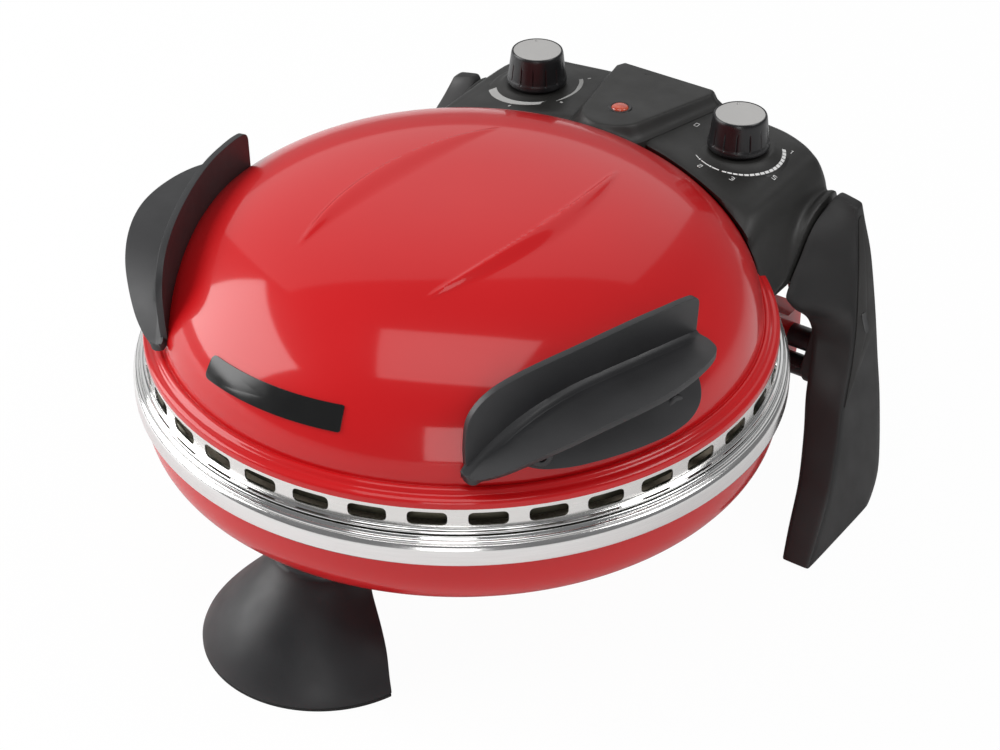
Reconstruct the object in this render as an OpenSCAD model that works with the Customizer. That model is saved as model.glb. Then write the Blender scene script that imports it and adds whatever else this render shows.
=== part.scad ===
// Countertop pizza oven: a two-shell round cooker on a front scoop foot and two raked rear legs,
// with a hinged lid that carries the control console, two shield handles, dials and the upper heater.
// Heights are measured from the table; the round body stands on the Z axis until place() centres the part.

/* [Round body] */
// Outer radius of the wide steel band
band_r = 170; // [160:1:180]
// Height of the band's lower edge above the table
band_z = 97; // [90:1:105]
// Height of the wide steel band
band_h = 11; // [9:0.5:14]
// Wall of the steel shells
sheet_t = 1.2; // [0.8:0.1:1.6]
// Radius of the bowl where the band wraps it
bowl_r = 166; // [162:0.5:168]
// Depth of the bowl below the band's lower edge
bowl_d = 48; // [42:1:52]
// Roundness exponent of the bowl
bowl_n = 3.4; // [2.6:0.1:4]

/* [Lid] */
// Radius of the lid's rolled flange
flange_r = 161.2; // [158:0.2:163]
// Height of the slotted band
slot_band_h = 10.5; // [9.5:0.5:12]
// Number of vent slots
slot_count = 36; // [24:1:40]
// Length of a vent slot
slot_l = 18.5; // [14:0.5:19]
// Height of a vent slot
slot_h = 7.2; // [5:0.2:7.6]
// Corner radius of a vent slot
slot_corner = 2.4; // [1:0.1:2.5]
// Radius of the dome at its foot
dome_r = 152; // [148:0.5:154]
// Rise of the dome above its foot
dome_h = 73.5; // [66:0.5:78]
// Roundness exponent of the dome, outwards
dome_n = 2.74; // [2.4:0.02:3]
// Roundness exponent of the dome, upwards
dome_m = 2.07; // [1.9:0.01:2.3]
// Height of the two crescent ribs on the dome
rib_h = 1.2; // [0.8:0.1:2]

/* [Baking chamber] */
// Radius of the baking stone
stone_r = 155; // [150:0.5:156]
// Thickness of the baking stone
stone_t = 12; // [10:0.5:12.5]
// Radius of the heating rings
heater_r = 100; // [85:1:115]
// Radius of the heater tube
heater_tube_r = 3.3; // [3:0.1:4]

/* [Handles] */
// Furthest reach of a handle's wing from the centre plane
wing_reach = 157; // [154:0.5:159]
// Thickness of the handle's walls
handle_t = 4; // [3:0.2:5]
// Gap between a handle and the hot dome
handle_gap = 2.5; // [2:0.1:4]
// Height of the fin's top edge
fin_top = 191; // [186:1:194]

/* [Console] */
// Furthest back face of the console
console_back = 207; // [203:1:212]
// Underside of the console behind the lid
console_floor = 98; // [95:1:102]
// Wall of the console moulding
console_t = 2.6; // [2:0.1:3]
// Sideways place of the two dials
dial_x = 64.4; // [62:0.2:66]
// Place of the dials behind the body's axis
dial_y = 161.3; // [159:0.1:163]
// Height of the cap on a dial
dial_top = 187.7; // [186:0.1:190]
// Radius of a knob's skirt at its foot
knob_r = 16.6; // [15:0.1:17.5]
// Radius of a knob at its top
knob_top_r = 13.7; // [12.5:0.1:14.5]
// Height of a knob
knob_h = 18.5; // [17:0.1:20]
// Number of grip flutes round a knob
flute_count = 24; // [12:1:30]
// Radius of the control shafts
shaft_r = 3; // [2.5:0.1:3.5]

/* [Hinge and legs] */
// Place of the hinge axis behind the body's axis
hinge_y = 174; // [173:0.5:175]
// Height of the hinge axis
hinge_z = 91; // [90:0.5:92]
// Radius of the hinge pins
pin_r = 3; // [2.5:0.1:3.5]
// Radial running clearance at pins and shafts
run_fit = 0.06; // [0.02:0.01:0.1]
// Radius of the sleeves that hold the legs off the bracket
sleeve_r = 6.5; // [5.5:0.1:7]
// Half the distance between the outer faces of the leg tips
leg_reach = 176; // [172:0.5:180]
// Top of the legs
leg_top = 152; // [148:0.5:154]
// Wall of the leg moulding
leg_t = 3; // [2.4:0.1:3.6]
// Radius of the front foot on the table
foot_r = 64; // [60:0.5:68]
// Place of the front foot's axis
foot_y = -115; // [-118:0.5:-112]
// Wall of the front foot
foot_t = 3; // [2.4:0.1:3.6]
// Thickness of the rubber pads
pad_t = 1.6; // [1.2:0.1:2.4]

/* [Hidden] */
$fn = 96;

// The part is centred front to back between the foot's front and the console's back.
foot_front = foot_y - foot_r;
y_mid = (foot_front + console_back) / 2;

// Stack of rings at the joint between base and lid
band_top = band_z + band_h;
rim_z = band_top + 2.4;
part_gap = 0.8;
lid_z = rim_z + part_gap;
lid_rim_h = 2.3;
slot_band_z = lid_z + lid_rim_h;
flange_z = slot_band_z + slot_band_h;
dome_z = flange_z + 3;
dome_top = dome_z + dome_h;
stone_z = rim_z - 3.4 - stone_t;

// Radius of the bowl's outside at a height below the band, grown by g
function bowl_at(z, g = 0) =
    (bowl_r + g) * pow(max(0, 1 - pow(min(1, (band_z - z) / (bowl_d + g)), bowl_n)), 1 / bowl_n);
// Height of the bowl's outside at a distance from the axis, and how steeply it climbs there in degrees
function bowl_floor(r) = band_z - bowl_d * pow(1 - pow(r / bowl_r, bowl_n), 1 / bowl_n);
function bowl_slope(r) = atan(bowl_floor(r + 0.5) - bowl_floor(r - 0.5));
// Radius of the dome's outside at a height above its foot, grown by g
function dome_at(z, g = 0) =
    (dome_r + g) * pow(max(0, 1 - pow(min(1, max(0, z - dome_z) / (dome_h + g)), dome_m)), 1 / dome_n);
// Profile of the bowl and of the dome, from the wide edge to the middle, grown by g
bowl_steps = 18;
function bowl_profile(g) = [for (i = [0 : bowl_steps])
    let (t = 90 * i / bowl_steps)
    [(bowl_r + g) * pow(cos(t), 2 / bowl_n), band_z - (bowl_d + g) * pow(sin(t), 2 / bowl_n)]];
dome_steps = 22;
function dome_profile(g) = [for (i = [0 : dome_steps])
    let (t = 90 * i / dome_steps)
    [(dome_r + g) * pow(cos(t), 2 / dome_n), dome_z + (dome_h + g) * pow(sin(t), 2 / dome_m)]];
function reversed(list) = [for (i = [len(list) - 1 : -1 : 0]) list[i]];

// Centres the whole part over the origin
module place() { translate([0, -y_mid, 0]) children(); }
// The same piece on both sides of the centre plane
module both_sides() {
    children();
    mirror([1, 0, 0]) children();
}
// Stands children along +X at the hinge axis
module along_hinge(x) { translate([x, hinge_y, hinge_z]) rotate([0, 90, 0]) children(); }
// A solid skinned over a list of rings that have equal numbers of points
module loft(rings) {
    n = len(rings[0]);
    last = len(rings) - 1;
    points = [for (ring = rings) each ring];
    faces = concat(
        [[for (i = [0 : n - 1]) i]],
        [for (k = [0 : last - 1]) for (i = [0 : n - 1])
            let (a = k * n + i, b = k * n + (i + 1) % n)
            each [[a, a + n, b], [b, a + n, b + n]]],
        [[for (i = [n - 1 : -1 : 0]) last * n + i]]);
    polyhedron(points = points, faces = faces, convexity = 8);
}

// ---------- base ----------

module lower_shell() color([0.75, 0.07, 0.09]) place() difference() {
    rotate_extrude() polygon(concat(
        [[bowl_r, band_top - 1]], bowl_profile(0), reversed(bowl_profile(-sheet_t)),
        [[bowl_r - sheet_t, band_top - 1]]));
    // way for the heater's terminals into the terminal box
    for (side = [-1, 1]) translate([side * terminal_x, 0, heater_low_z]) rotate([-90, 0, 0])
        cylinder(r = terminal_hole_r, h = band_r);
    // holes for the foot's screws
    foot_screw_axes() translate([0, 0, -4]) cylinder(r = screw_r, h = 12);
}

// Rolled steel band: a hollow C ring that hugs the bowl
band_t = 1;
module base_band() color([0.8, 0.8, 0.8]) place() rotate_extrude() polygon([
    [bowl_r, band_z], [band_r - 1, band_z], [band_r, band_z + 1], [band_r, band_top - 1.4],
    [band_r - 0.5, band_top - 0.4], [band_r - 1.6, band_top], [bowl_r, band_top], [bowl_r, band_top - band_t],
    [band_r - 1.8, band_top - band_t], [band_r - band_t, band_top - 1.8], [band_r - band_t, band_z + 1.4],
    [band_r - 1.4, band_z + band_t], [bowl_r, band_z + band_t]]);

// Stepped rim of two polished beads above the band
rim_in = bowl_r - sheet_t - 3.8;
module base_rim() color([0.85, 0.85, 0.85]) place() rotate_extrude() difference() {
    union() {
        translate([rim_in, band_top]) square([bowl_r - 1.4 - rim_in, rim_z - band_top]);
        translate([bowl_r + 0.9, band_top + 0.9]) circle(r = 0.9);
        translate([bowl_r - 1.5, band_top]) square([2.4, 0.9]);
        translate([bowl_r - 1.4, rim_z - 0.7]) circle(r = 0.7);
    }
}

// Bright dish under the stone, with the ledge that the stone lies on
ledge_r = stone_r - 6;
dish_z = band_z - bowl_d + 18;
module lower_reflector() color([0.62, 0.62, 0.6]) place() difference() {
    rotate_extrude() polygon([
        [rim_in + 3, band_top], [rim_in + 3, band_top - 0.8], [stone_r + 2.2, band_top - 0.8],
        [stone_r + 2.2, stone_z - 0.8], [ledge_r, stone_z - 0.8], [ledge_r - 4.2, dish_z + 6],
        [ledge_r - 12.6, dish_z - 0.8], [0, dish_z - 0.8], [0, dish_z], [ledge_r - 13, dish_z],
        [ledge_r - 5, dish_z + 6.4], [ledge_r - 0.8, stone_z], [stone_r + 1.4, stone_z],
        [stone_r + 1.4, band_top]]);
    for (side = [-1, 1]) translate([side * terminal_x, 0, heater_low_z]) rotate([-90, 0, 0])
        cylinder(r = terminal_hole_r, h = band_r);
}

// Tubular heater: an open ring whose two ends turn out through the back
terminal_x = 16;
terminal_hole_r = heater_tube_r + 0.8;
heater_low_z = dish_z + 12;
module heater_ring(z, out_to) translate([0, 0, z]) {
    gap = asin(terminal_x / heater_r);
    back = sqrt(pow(heater_r, 2) - pow(terminal_x, 2));
    rotate([0, 0, 90 + gap]) rotate_extrude(angle = 360 - 2 * gap)
        translate([heater_r, 0]) circle(r = heater_tube_r, $fn = 24);
    for (side = [-1, 1]) translate([side * terminal_x, back - 1, 0]) rotate([-90, 0, 0])
        cylinder(r = heater_tube_r, h = out_to - back + 1, $fn = 24);
}
module lower_heater() color([0.3, 0.28, 0.27]) place()
    heater_ring(heater_low_z, bowl_at(heater_low_z) + 4);

clip_w = 9;
module heater_clips(z, seat_z, angles) for (a = angles) rotate([0, 0, a]) {
    low = min(z, seat_z);
    difference() {
        union() {
            translate([heater_r - clip_w / 2, -1.5, low])
                cube([clip_w, 3, abs(seat_z - z) + (seat_z < z ? heater_tube_r + 1 : 0)]);
            translate([heater_r - clip_w / 2, -1.5, z - heater_tube_r - 1])
                cube([clip_w, 3, 2 * heater_tube_r + 2]);
        }
        translate([heater_r, -3, z]) rotate([-90, 0, 0]) cylinder(r = heater_tube_r + 0.08, h = 6);
    }
}
module lower_heater_clips() color([0.7, 0.7, 0.7]) place()
    heater_clips(heater_low_z, dish_z, [30, 150, 270]);

module stone() color([0.86, 0.8, 0.7]) place() translate([0, 0, stone_z]) rotate_extrude() polygon([
    [0, 0], [stone_r - 1.5, 0], [stone_r, 1.5], [stone_r, stone_t - 2.5], [stone_r - 1, stone_t - 0.8],
    [stone_r - 3, stone_t], [0, stone_t]]);

// Scoop foot: the front part of a round bell that widens towards the table
foot_steps = 12;
foot_rise = 72;
foot_taper = 0.49;
function foot_profile(g) = [for (i = [0 : foot_steps])
    let (z = foot_rise * i / foot_steps)
    [foot_r + g - foot_taper * 50 * pow(z / 50, 1.25), z]];
foot_back = foot_y - 26;
foot_lean = 18;
// Everything ahead of the foot's leaning back edge
module foot_cut() translate([0, foot_back, 0]) rotate([-foot_lean, 0, 0])
    translate([-100, -150, -30]) cube([200, 150, 160]);
foot_screw_x = 18;
foot_screw_y = foot_y - 14;
foot_screw_at = norm([foot_screw_x, foot_screw_y]);
// Axes of the foot's two screws, square to the bowl and drawn inwards from its outside
module foot_screw_axes() both_sides() rotate([0, 0, atan2(foot_screw_y, foot_screw_x)])
    translate([foot_screw_at, 0, bowl_floor(foot_screw_at)])
        rotate([0, -bowl_slope(foot_screw_at), 0]) children();
screw_r = 2;
module front_foot() color([0.12, 0.12, 0.13]) place() difference() {
    intersection() {
        union() {
            translate([0, foot_y, 0]) rotate_extrude() polygon(concat(
                foot_profile(0), reversed(foot_profile(-foot_t))));
            // ribs and screw posts inside the bell
            intersection() {
                translate([0, foot_y, 0]) rotate_extrude() polygon(concat(
                    [[0, 0]], foot_profile(-foot_t / 2), [[0, foot_rise]]));
                union() {
                    for (side = [-1, 1]) {
                        translate([side * foot_screw_x, foot_screw_y, 24]) cylinder(r = 5, h = 60);
                        translate([side * foot_screw_x - 1.2, foot_y - 60, 14]) cube([2.4, 46, 60]);
                    }
                    translate([-60, foot_back + 4, 30]) cube([120, 2.6, 60]);
                }
            }
        }
        foot_cut();
        translate([-100, -300, pad_t]) cube([200, 300, 90]);
    }
    // seat of the bowl
    rotate_extrude() polygon(concat([[bowl_r + 0.3, band_z]], bowl_profile(0.3), [[0, band_z]]));
    foot_screw_axes() translate([0, 0, -16]) cylinder(r = screw_r, h = 20);
}
module front_foot_pad() color([0.2, 0.2, 0.2]) place() intersection() {
    translate([0, foot_y, 0]) difference() {
        cylinder(r = foot_r, h = pad_t);
        translate([0, 0, -1]) cylinder(r = foot_r - foot_t - 1.5, h = pad_t + 2);
    }
    foot_cut();
}
module foot_screws() color([0.7, 0.7, 0.7]) place() foot_screw_axes() {
    translate([0, 0, -14]) cylinder(r = screw_r - 0.1, h = 16);
    translate([0, 0, sheet_t + 0.1]) cylinder(r = 4, h = 2.4);
}

// Leg outline seen from the side: [height, front edge, back edge]
function leg_front(z) = lookup(z, [[0, 59], [14, 77], [24, 90], [36, 101], [48, 111], [60, 119],
    [76, 134], [88, 143], [111, 155], [124, 161], [143, 169], [leg_top, 173]]);
function leg_back(z) = lookup(z, [[0, 121], [3, 127], [10, 137], [24, 145], [38, 151], [53, 157],
    [68, 161], [83, 166], [98, 170], [124, 176], [leg_top, 180]]);
leg_lean = 0.3;
inner_lean = 0.4;
leg_foot_w = 14;
function leg_out(z) = leg_reach - leg_lean * z;
// Plane that parts the console's cheeks from the legs, and the gap between them
cheek_x = 114;
cheek_gap = 0.6;
function leg_in(z) = max(cheek_x + cheek_gap, leg_reach - leg_foot_w - inner_lean * z);
// The arch rounds from the leg's inner face over to the cheek between these heights
arch_low = 84;
arch_top = 108;
function arch_share(z) = z <= arch_low ? 0 : z >= arch_top ? 1 :
    1 - sqrt(1 - pow((z - arch_low) / (arch_top - arch_low), 2));
// Front edge where the leg meets the cheek
function leg_front_in(z) = lookup(z, [[arch_low, leg_front(arch_low)], [94, 138], [101, 130], [arch_top, 129],
    [117, 134], [127, 143], [137, 151], [143, 159], [147, 168], [leg_top, 177]]);
leg_levels = [pad_t, 4, 8, 14, 22, 31, 40, 50, 60, 70, 80, arch_low, 88, 92, 96, 99, 102, 104.5, 106.5,
    arch_top, 112, 117, 122, 127, 132, 137, 141, 144.5, 147.5, 150, leg_top];
// The inner top edge is bevelled, so the lid's rim passes it
bevel_z = 147.5;
function top_bevel(z) = 0.8 * max(0, z - bevel_z);
// Closed ring of a leg at one height, drawn in by g; the corners are cut back by r
function leg_ring(z, g, r, shift) =
    let (xc = cheek_x + cheek_gap, xi = leg_in(z) + (xc - leg_in(z)) * arch_share(z) + top_bevel(z),
         x0 = xi + g - shift, x1 = leg_out(z) - g, y0 = leg_front(z) + g, y1 = leg_back(z) - g,
         bend = z > arch_low ? leg_front(z) - min(leg_front_in(z), leg_back(z) - 2) : 0,
         slope = bend / (leg_out(z) - xc),
         c = min(r, (x1 - x0) / 3, (y1 - y0) / 3), yi = y0 - slope * (x1 - x0))
    [[x0, yi, z], [x1 - c, y0 - slope * c, z], [x1 - 0.3 * c, y0 + 0.3 * c, z],
     [x1, y0 + c, z], [x1, y1 - 2 * c, z], [x1 - 0.6 * c, y1 - 0.6 * c, z], [x1 - 2 * c, y1, z], [x0, y1, z]];
// Lug that carries the hinge pin, the bolt with the sleeve and the lower spacer
lug_out = 146;
module leg_lug() translate([sleeve_end, 0, 0]) rotate([90, 0, 90])
    linear_extrude(height = lug_out - sleeve_end)
        polygon([[hinge_y - 31, hinge_z - 5], [hinge_y - 26, hinge_z - 0.4], [hinge_y - 2.8, hinge_z + 5.6],
            [hinge_y + 2.8, hinge_z + 5.6], [hinge_y + 6.2, hinge_z + 1], [bolt_y + 8, bolt_z],
            [bolt_y + 5, bolt_z - 8], [spacer_y + 6, spacer_z - 9], [spacer_y - 32, spacer_z - 11],
            [spacer_y - 38, spacer_z - 5]]);
module leg() difference() {
    union() {
        difference() {
            loft([for (z = leg_levels) leg_ring(z, 0, 3, 0)]);
            // hollow, open towards the inner side
            loft([for (z = [for (z = leg_levels) if (z > 8 && z < arch_low) z]) leg_ring(z, leg_t, 1, 12)]);
        }
        leg_lug();
    }
    cover_pocket();
    along_hinge(cheek_x) cylinder(r = pin_r, h = lug_out - cheek_x - 2);
    along_bolt(cheek_x) cylinder(r = bolt_r, h = lug_out - cheek_x - 2);
    leg_screw_holes();
}

// Tapered cover let into the leg's outer face
cover_t = 1.6;
cover_low = 44;
cover_high = 146;
module cover_shape(grow) {
    side = [[leg_front(cover_low) + 4, cover_low], [leg_front(60) + 3, 60], [leg_front(88) + 3, 88],
        [leg_front(124) + 3, 124], [leg_front(cover_high) + 3, cover_high],
        [leg_back(cover_high) - 4, cover_high], [leg_back(100) - 4, 100], [leg_back(66) - 5, 66]];
    rotate([90, 0, 90]) linear_extrude(height = leg_reach + 10) offset(delta = grow) polygon(side);
}
module leg_slab(inner, outer) loft([for (z = [cover_low - 6, cover_high + 6])
    [[leg_out(z) - inner, 80, z], [leg_out(z) + outer, 80, z], [leg_out(z) + outer, 200, z],
     [leg_out(z) - inner, 200, z]]]);
module cover_pocket() intersection() {
    cover_shape(0.4);
    leg_slab(cover_t + 0.4, 5);
}
module leg_cover() difference() {
    intersection() {
        cover_shape(0);
        leg_slab(cover_t, 0.4);
    }
    leg_screw_holes();
}
// Screws through the cover into the hinge sleeve and the lower spacer
bolt_y = 170;
bolt_z = 59;
bolt_r = 2.5;
spacer_y = bolt_y - 4;
spacer_z = bolt_z - 15;
// Stands children along +X at the upper bolt
module along_bolt(x) { translate([x, bolt_y, bolt_z]) rotate([0, 90, 0]) children(); }
sleeve_end = 124;
cover_screw_z = 92;
module leg_screw_holes() {
    translate([ear_x, spacer_y, spacer_z]) rotate([0, 90, 0]) cylinder(r = screw_r, h = lug_out - 1 - ear_x);
    translate([cheek_x + 12, leg_front(cover_screw_z) + 11, cover_screw_z]) rotate([0, 90, 0])
        cylinder(r = screw_r, h = 60);
}
module leg_screws() color([0.6, 0.6, 0.6]) place() both_sides() {
    translate([ear_x - 1.6, spacer_y, spacer_z]) rotate([0, 90, 0]) {
        cylinder(r = screw_r - 0.1, h = lug_out - 2 - ear_x);
        cylinder(r = 4, h = 1.5);
    }
    translate([leg_out(cover_screw_z) - 12, leg_front(cover_screw_z) + 11, cover_screw_z]) rotate([0, 90, 0])
        cylinder(r = screw_r - 0.1, h = 9);
}
module right_leg() color([0.13, 0.13, 0.13]) place() leg();
module left_leg() color([0.13, 0.13, 0.13]) place() mirror([1, 0, 0]) leg();
module right_leg_cover() color([0.2, 0.2, 0.19]) place() leg_cover();
module left_leg_cover() color([0.2, 0.2, 0.19]) place() mirror([1, 0, 0]) leg_cover();
module leg_pads() color([0.2, 0.2, 0.2]) place() both_sides()
    translate([leg_reach - leg_foot_w + 1, leg_front(0) + 5, 0]) cube([leg_foot_w - 3, 52, pad_t]);

// Painted steel bracket: a saddle behind the bowl with two ears that reach back to the spacers
ear_x = 98.6;
ear_t = 2.2;
module ear_plate(points) translate([ear_x, 0, 0]) rotate([90, 0, 90]) linear_extrude(height = ear_t)
    polygon(points);
module base_bracket() color([0.72, 0.07, 0.08]) place() difference() {
    union() {
        both_sides() {
            ear_plate([[118, 58], [122, 90], [134, 90], [bolt_y - 6, bolt_z + 15], [bolt_y + 9, bolt_z + 15],
                [bolt_y + 9, bolt_z], [spacer_y + 10, spacer_z - 12], [148, 34]]);
            // roof of the channel over the bolt
            translate([ear_x - 14, 0, 0]) rotate([90, 0, 90]) linear_extrude(height = 14 + ear_t) polygon([
                [134, 90], [bolt_y - 6, bolt_z + 15], [bolt_y + 9, bolt_z + 15], [bolt_y + 9, bolt_z + 13],
                [bolt_y - 6.8, bolt_z + 13], [132.4, 88.2]]);
        }
        // strap that joins the ears round the back of the bowl
        intersection() {
            difference() {
                translate([0, 0, strap_z]) cylinder(r = bowl_r + 3, h = strap_h);
                translate([0, 0, strap_z - 1]) cylinder(r = bowl_r + 0.8, h = strap_h + 2);
            }
            translate([-ear_x - ear_t, 100, 60]) cube([2 * (ear_x + ear_t), 100, 40]);
        }
    }
    rotate_extrude() polygon(concat([[bowl_r + 0.2, band_top]], bowl_profile(0.2), [[0, band_top]]));
    both_sides() {
        translate([ear_x - 1, spacer_y, spacer_z]) rotate([0, 90, 0]) cylinder(r = screw_r, h = ear_t + 2);
        along_bolt(ear_x - 1) cylinder(r = bolt_r, h = ear_t + 2);
    }
    // arch over the terminal box
    translate([-box_w / 2 - 0.4, 130, 50]) cube([box_w + 0.8, 60, box_top + 0.4 - 50]);
}
strap_z = 66;
strap_h = 29;

// Black sleeves that hold the legs off the bracket's ears
module leg_sleeves() color([0.1, 0.1, 0.1]) place() both_sides() {
    difference() {
        along_bolt(ear_x + ear_t) cylinder(r = sleeve_r, h = sleeve_end - ear_x - ear_t);
        along_bolt(ear_x) cylinder(r = bolt_r, h = 60);
    }
    difference() {
        translate([ear_x + ear_t, spacer_y, spacer_z]) rotate([0, 90, 0])
            cylinder(r = sleeve_r - 0.5, h = sleeve_end - ear_x - ear_t);
        translate([ear_x, spacer_y, spacer_z]) rotate([0, 90, 0]) cylinder(r = screw_r, h = 60);
    }
}

// Hinge pins: headed at the inner end and held in the legs' lugs
pin_in = ear_x - 2;
module hinge_pins() color([0.8, 0.78, 0.7]) place() both_sides() {
    along_hinge(pin_in) cylinder(r = pin_r, h = lug_out - 3 - pin_in);
    along_hinge(pin_in) cylinder(r = 5.4, h = ear_x - 0.4 - pin_in);
}
// Upper leg bolts, with a nut and washer inside the bracket's channel
module leg_bolts() color([0.8, 0.78, 0.7]) place() both_sides() {
    along_bolt(ear_x - 7) cylinder(r = bolt_r, h = lug_out - 3 - ear_x + 7);
    along_bolt(ear_x - 5.4) cylinder(r = 4.6, h = 4.2, $fn = 6);
    along_bolt(ear_x - 1.2) cylinder(r = 5.6, h = 1.2);
}

// Box over the lower heater's terminals, with the gland for the mains lead
box_w = 56;
box_back = bowl_r + 5.5;
box_low = band_z - bowl_d + 4;
box_h = 36;
box_wall = 2.4;
lead_z = box_low + 12;
lead_r = 4;
box_top = box_low + box_h;
module terminal_box() color([0.12, 0.12, 0.12]) place() difference() {
    translate([-box_w / 2, 120, box_low]) cube([box_w, box_back - 120, box_h]);
    translate([-box_w / 2 + box_wall, 118, box_low + box_wall])
        cube([box_w - 2 * box_wall, box_back - 118 - box_wall, box_h - 2 * box_wall]);
    rotate_extrude() polygon(concat([[bowl_r + 4, band_top]], [[bowl_r + 4, 88]], bowl_profile(0.4),
        [[0, band_top]]));
    translate([0, box_back - 6, lead_z]) rotate([-90, 0, 0]) cylinder(r = lead_r, h = 12);
}

// ---------- lid ----------

// Outside of the lid from the flange to the top, grown by g
function lid_outline(g) = concat([[flange_r + g, flange_z - g], [flange_r + g, flange_z + 2.4],
    [flange_r - 1 + g, flange_z + 4 + g], [dome_r + 3 + g, flange_z + 5.4 + g],
    [dome_r + 2.2 + g, flange_z + 6.4 + g], [dome_r + 0.2 + g, flange_z + 6.8 + g]],
    [for (p = dome_profile(g)) if (p[1] > flange_z + 7 + g) p]);
module lid_solid(g) rotate_extrude() polygon(concat(lid_outline(g), [[0, flange_z - g]]));

// Crescent rib on the flat of the dome: a curved ridge with pointed ends
module crescent(x_end, x_mid, y_from, y_to) {
    bow = x_mid - x_end;
    chord = y_to - y_from;
    arc_r = (pow(bow, 2) + pow(chord / 2, 2)) / (2 * abs(bow));
    translate([x_mid - sign(bow) * arc_r, (y_from + y_to) / 2, 0]) intersection() {
        rotate_extrude($fn = 180) polygon([[arc_r - 7, dome_top - 6], [arc_r - 7, dome_top - 1.2],
            [arc_r - 1, dome_top + rib_h], [arc_r + 1, dome_top + rib_h], [arc_r + 4, dome_top - 1.2],
            [arc_r + 4, dome_top - 6]]);
        translate([sign(bow) > 0 ? 0 : -2 * arc_r, -chord / 2, dome_top - 8])
            cube([2 * arc_r, chord, 12]);
    }
}
shell_bore_angles = [-41, -14];
module upper_shell() color([0.75, 0.07, 0.09]) place() difference() {
    union() {
        rotate_extrude() polygon(concat(lid_outline(0), reversed(concat(
            [[flange_r - sheet_t, flange_z], [flange_r - sheet_t, flange_z + 2],
                [flange_r - 2, flange_z + 2.8], [dome_r + 0.4, flange_z + 4.6]],
            [for (p = dome_profile(-sheet_t)) if (p[1] > flange_z + 6) p]))));
        intersection() {
            union() {
                crescent(-24, -36, -89, 56);
                crescent(53, 71, -91, 53);
            }
            rotate_extrude() polygon(concat(dome_profile(rib_h), reversed(dome_profile(-sheet_t / 2))));
        }
    }
    handle_screw_axes() cylinder(r = screw_r + 0.2, h = 30);
}

module slotted_band() color([0.82, 0.82, 0.82]) place() difference() {
    rotate_extrude($fn = 180) polygon([[flange_r - 0.2, slot_band_z], [flange_r - 0.2, flange_z],
        [flange_r - 1.2, flange_z], [flange_r - 1.2, slot_band_z]]);
    for (i = [0 : slot_count - 1]) rotate([0, 0, -90 + 360 * i / slot_count])
        translate([flange_r - 6, 0, slot_band_z + slot_band_h * 0.44]) rotate([0, 90, 0])
            linear_extrude(height = 12) {
                square([slot_h, slot_l - 2 * slot_corner], center = true);
                square([slot_h - 2 * slot_corner, slot_l], center = true);
                for (a = [-1, 1]) for (b = [-1, 1])
                    translate([a * (slot_h / 2 - slot_corner), b * (slot_l / 2 - slot_corner)])
                        circle(r = slot_corner, $fn = 20);
            }
}

module lid_rim() color([0.85, 0.85, 0.85]) place() rotate_extrude() union() {
    translate([flange_r - 4.5, lid_z]) square([7, lid_rim_h - 0.9]);
    translate([flange_r + 2.6, lid_z + 0.9]) circle(r = 0.9);
    translate([flange_r - 1.2, lid_z]) square([1.6, lid_rim_h]);
}

// Skirt and shallow dish above the chamber
vault_z = flange_z + 26;
skirt_r = dome_r + 1.6;
module lid_reflector() color([0.5, 0.49, 0.42]) place() difference() {
    rotate_extrude() polygon([[flange_r - sheet_t, flange_z + 1.6], [flange_r - sheet_t, flange_z + 0.8],
        [skirt_r, flange_z + 0.8], [skirt_r, lid_z + 1.5], [skirt_r - 3.4, lid_z + 1.5],
        [skirt_r - 6, flange_z + 6], [skirt_r - 16, vault_z - 5], [skirt_r - 34, vault_z], [0, vault_z],
        [0, vault_z + 0.8], [skirt_r - 34, vault_z + 0.8], [skirt_r - 15.4, vault_z - 4.2],
        [skirt_r - 5.2, flange_z + 6.4], [skirt_r - 2.6, lid_z + 2.3], [skirt_r - 0.8, lid_z + 2.3],
        [skirt_r - 0.8, flange_z + 1.6]]);
    for (side = [-1, 1]) translate([side * terminal_x, 0, heater_high_z]) rotate([-90, 0, 0])
        cylinder(r = terminal_hole_r, h = band_r);
}
heater_high_z = vault_z - 9;
module upper_heater() color([0.3, 0.28, 0.27]) place() heater_ring(heater_high_z, dome_r - 8);
module upper_heater_clips() color([0.7, 0.7, 0.7]) place()
    heater_clips(heater_high_z, vault_z, [30, 150, 270]);

// Console moulding, skinned over side sections from its left cheek to its right one.
// Each table gives a distance from the centre plane and a value there.
function deck_z(x) = lookup(x, [[0, 171], [38, 169.8], [50, 168.2], [64, 166.6], [80, 162], [93, 157.5],
    [101, 155], [cheek_x, 148]]);
function deck_back(x) = lookup(x, [[0, 197], [76, 196], [93, 192], [101, 188], [cheek_x, 182]]);
function wall_back(x) = lookup(x, [[0, console_back], [76, console_back], [93, console_back - 5],
    [104, console_back - 13], [cheek_x, console_back - 20]]);
// Height at which the skin leaves the dome, and the two shoulder points between there and the deck
function skirt_top(x) = lookup(x, [[0, 168], [45, 167], [64, 164], [80, 158], [93, 149], [101, 138],
    [104, flange_z + 9], [cheek_x, flange_z + 8]]);
function brow_y(x) = lookup(x, [[0, 141], [64, 128], [80, 127], [93, 128], [101, 133], [107, 138],
    [cheek_x, 142]]);
function brow_z(x) = lookup(x, [[0, 170.4], [45, 169.4], [64, 166], [80, 160.5], [93, 154], [101, 146.5],
    [107, 137], [cheek_x, 127]]);
function crown_y(x) = lookup(x, [[0, 152], [64, 142], [93, 146], [101, 152], [107, 158], [cheek_x, 161]]);
function crown_z(x) = lookup(x, [[0, 171], [38, 169.8], [50, 168.2], [64, 166.6], [80, 162], [93, 157],
    [101, 154], [107, 149.5], [cheek_x, 144.5]]);
console_gap = 0.9;
// Front of the console's deep part, behind the base
chin_y = 173;
console_low = slot_band_z + 0.4;
function lip_y(x, g) = sqrt(pow(flange_r + console_gap + g, 2) - x * x);
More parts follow.
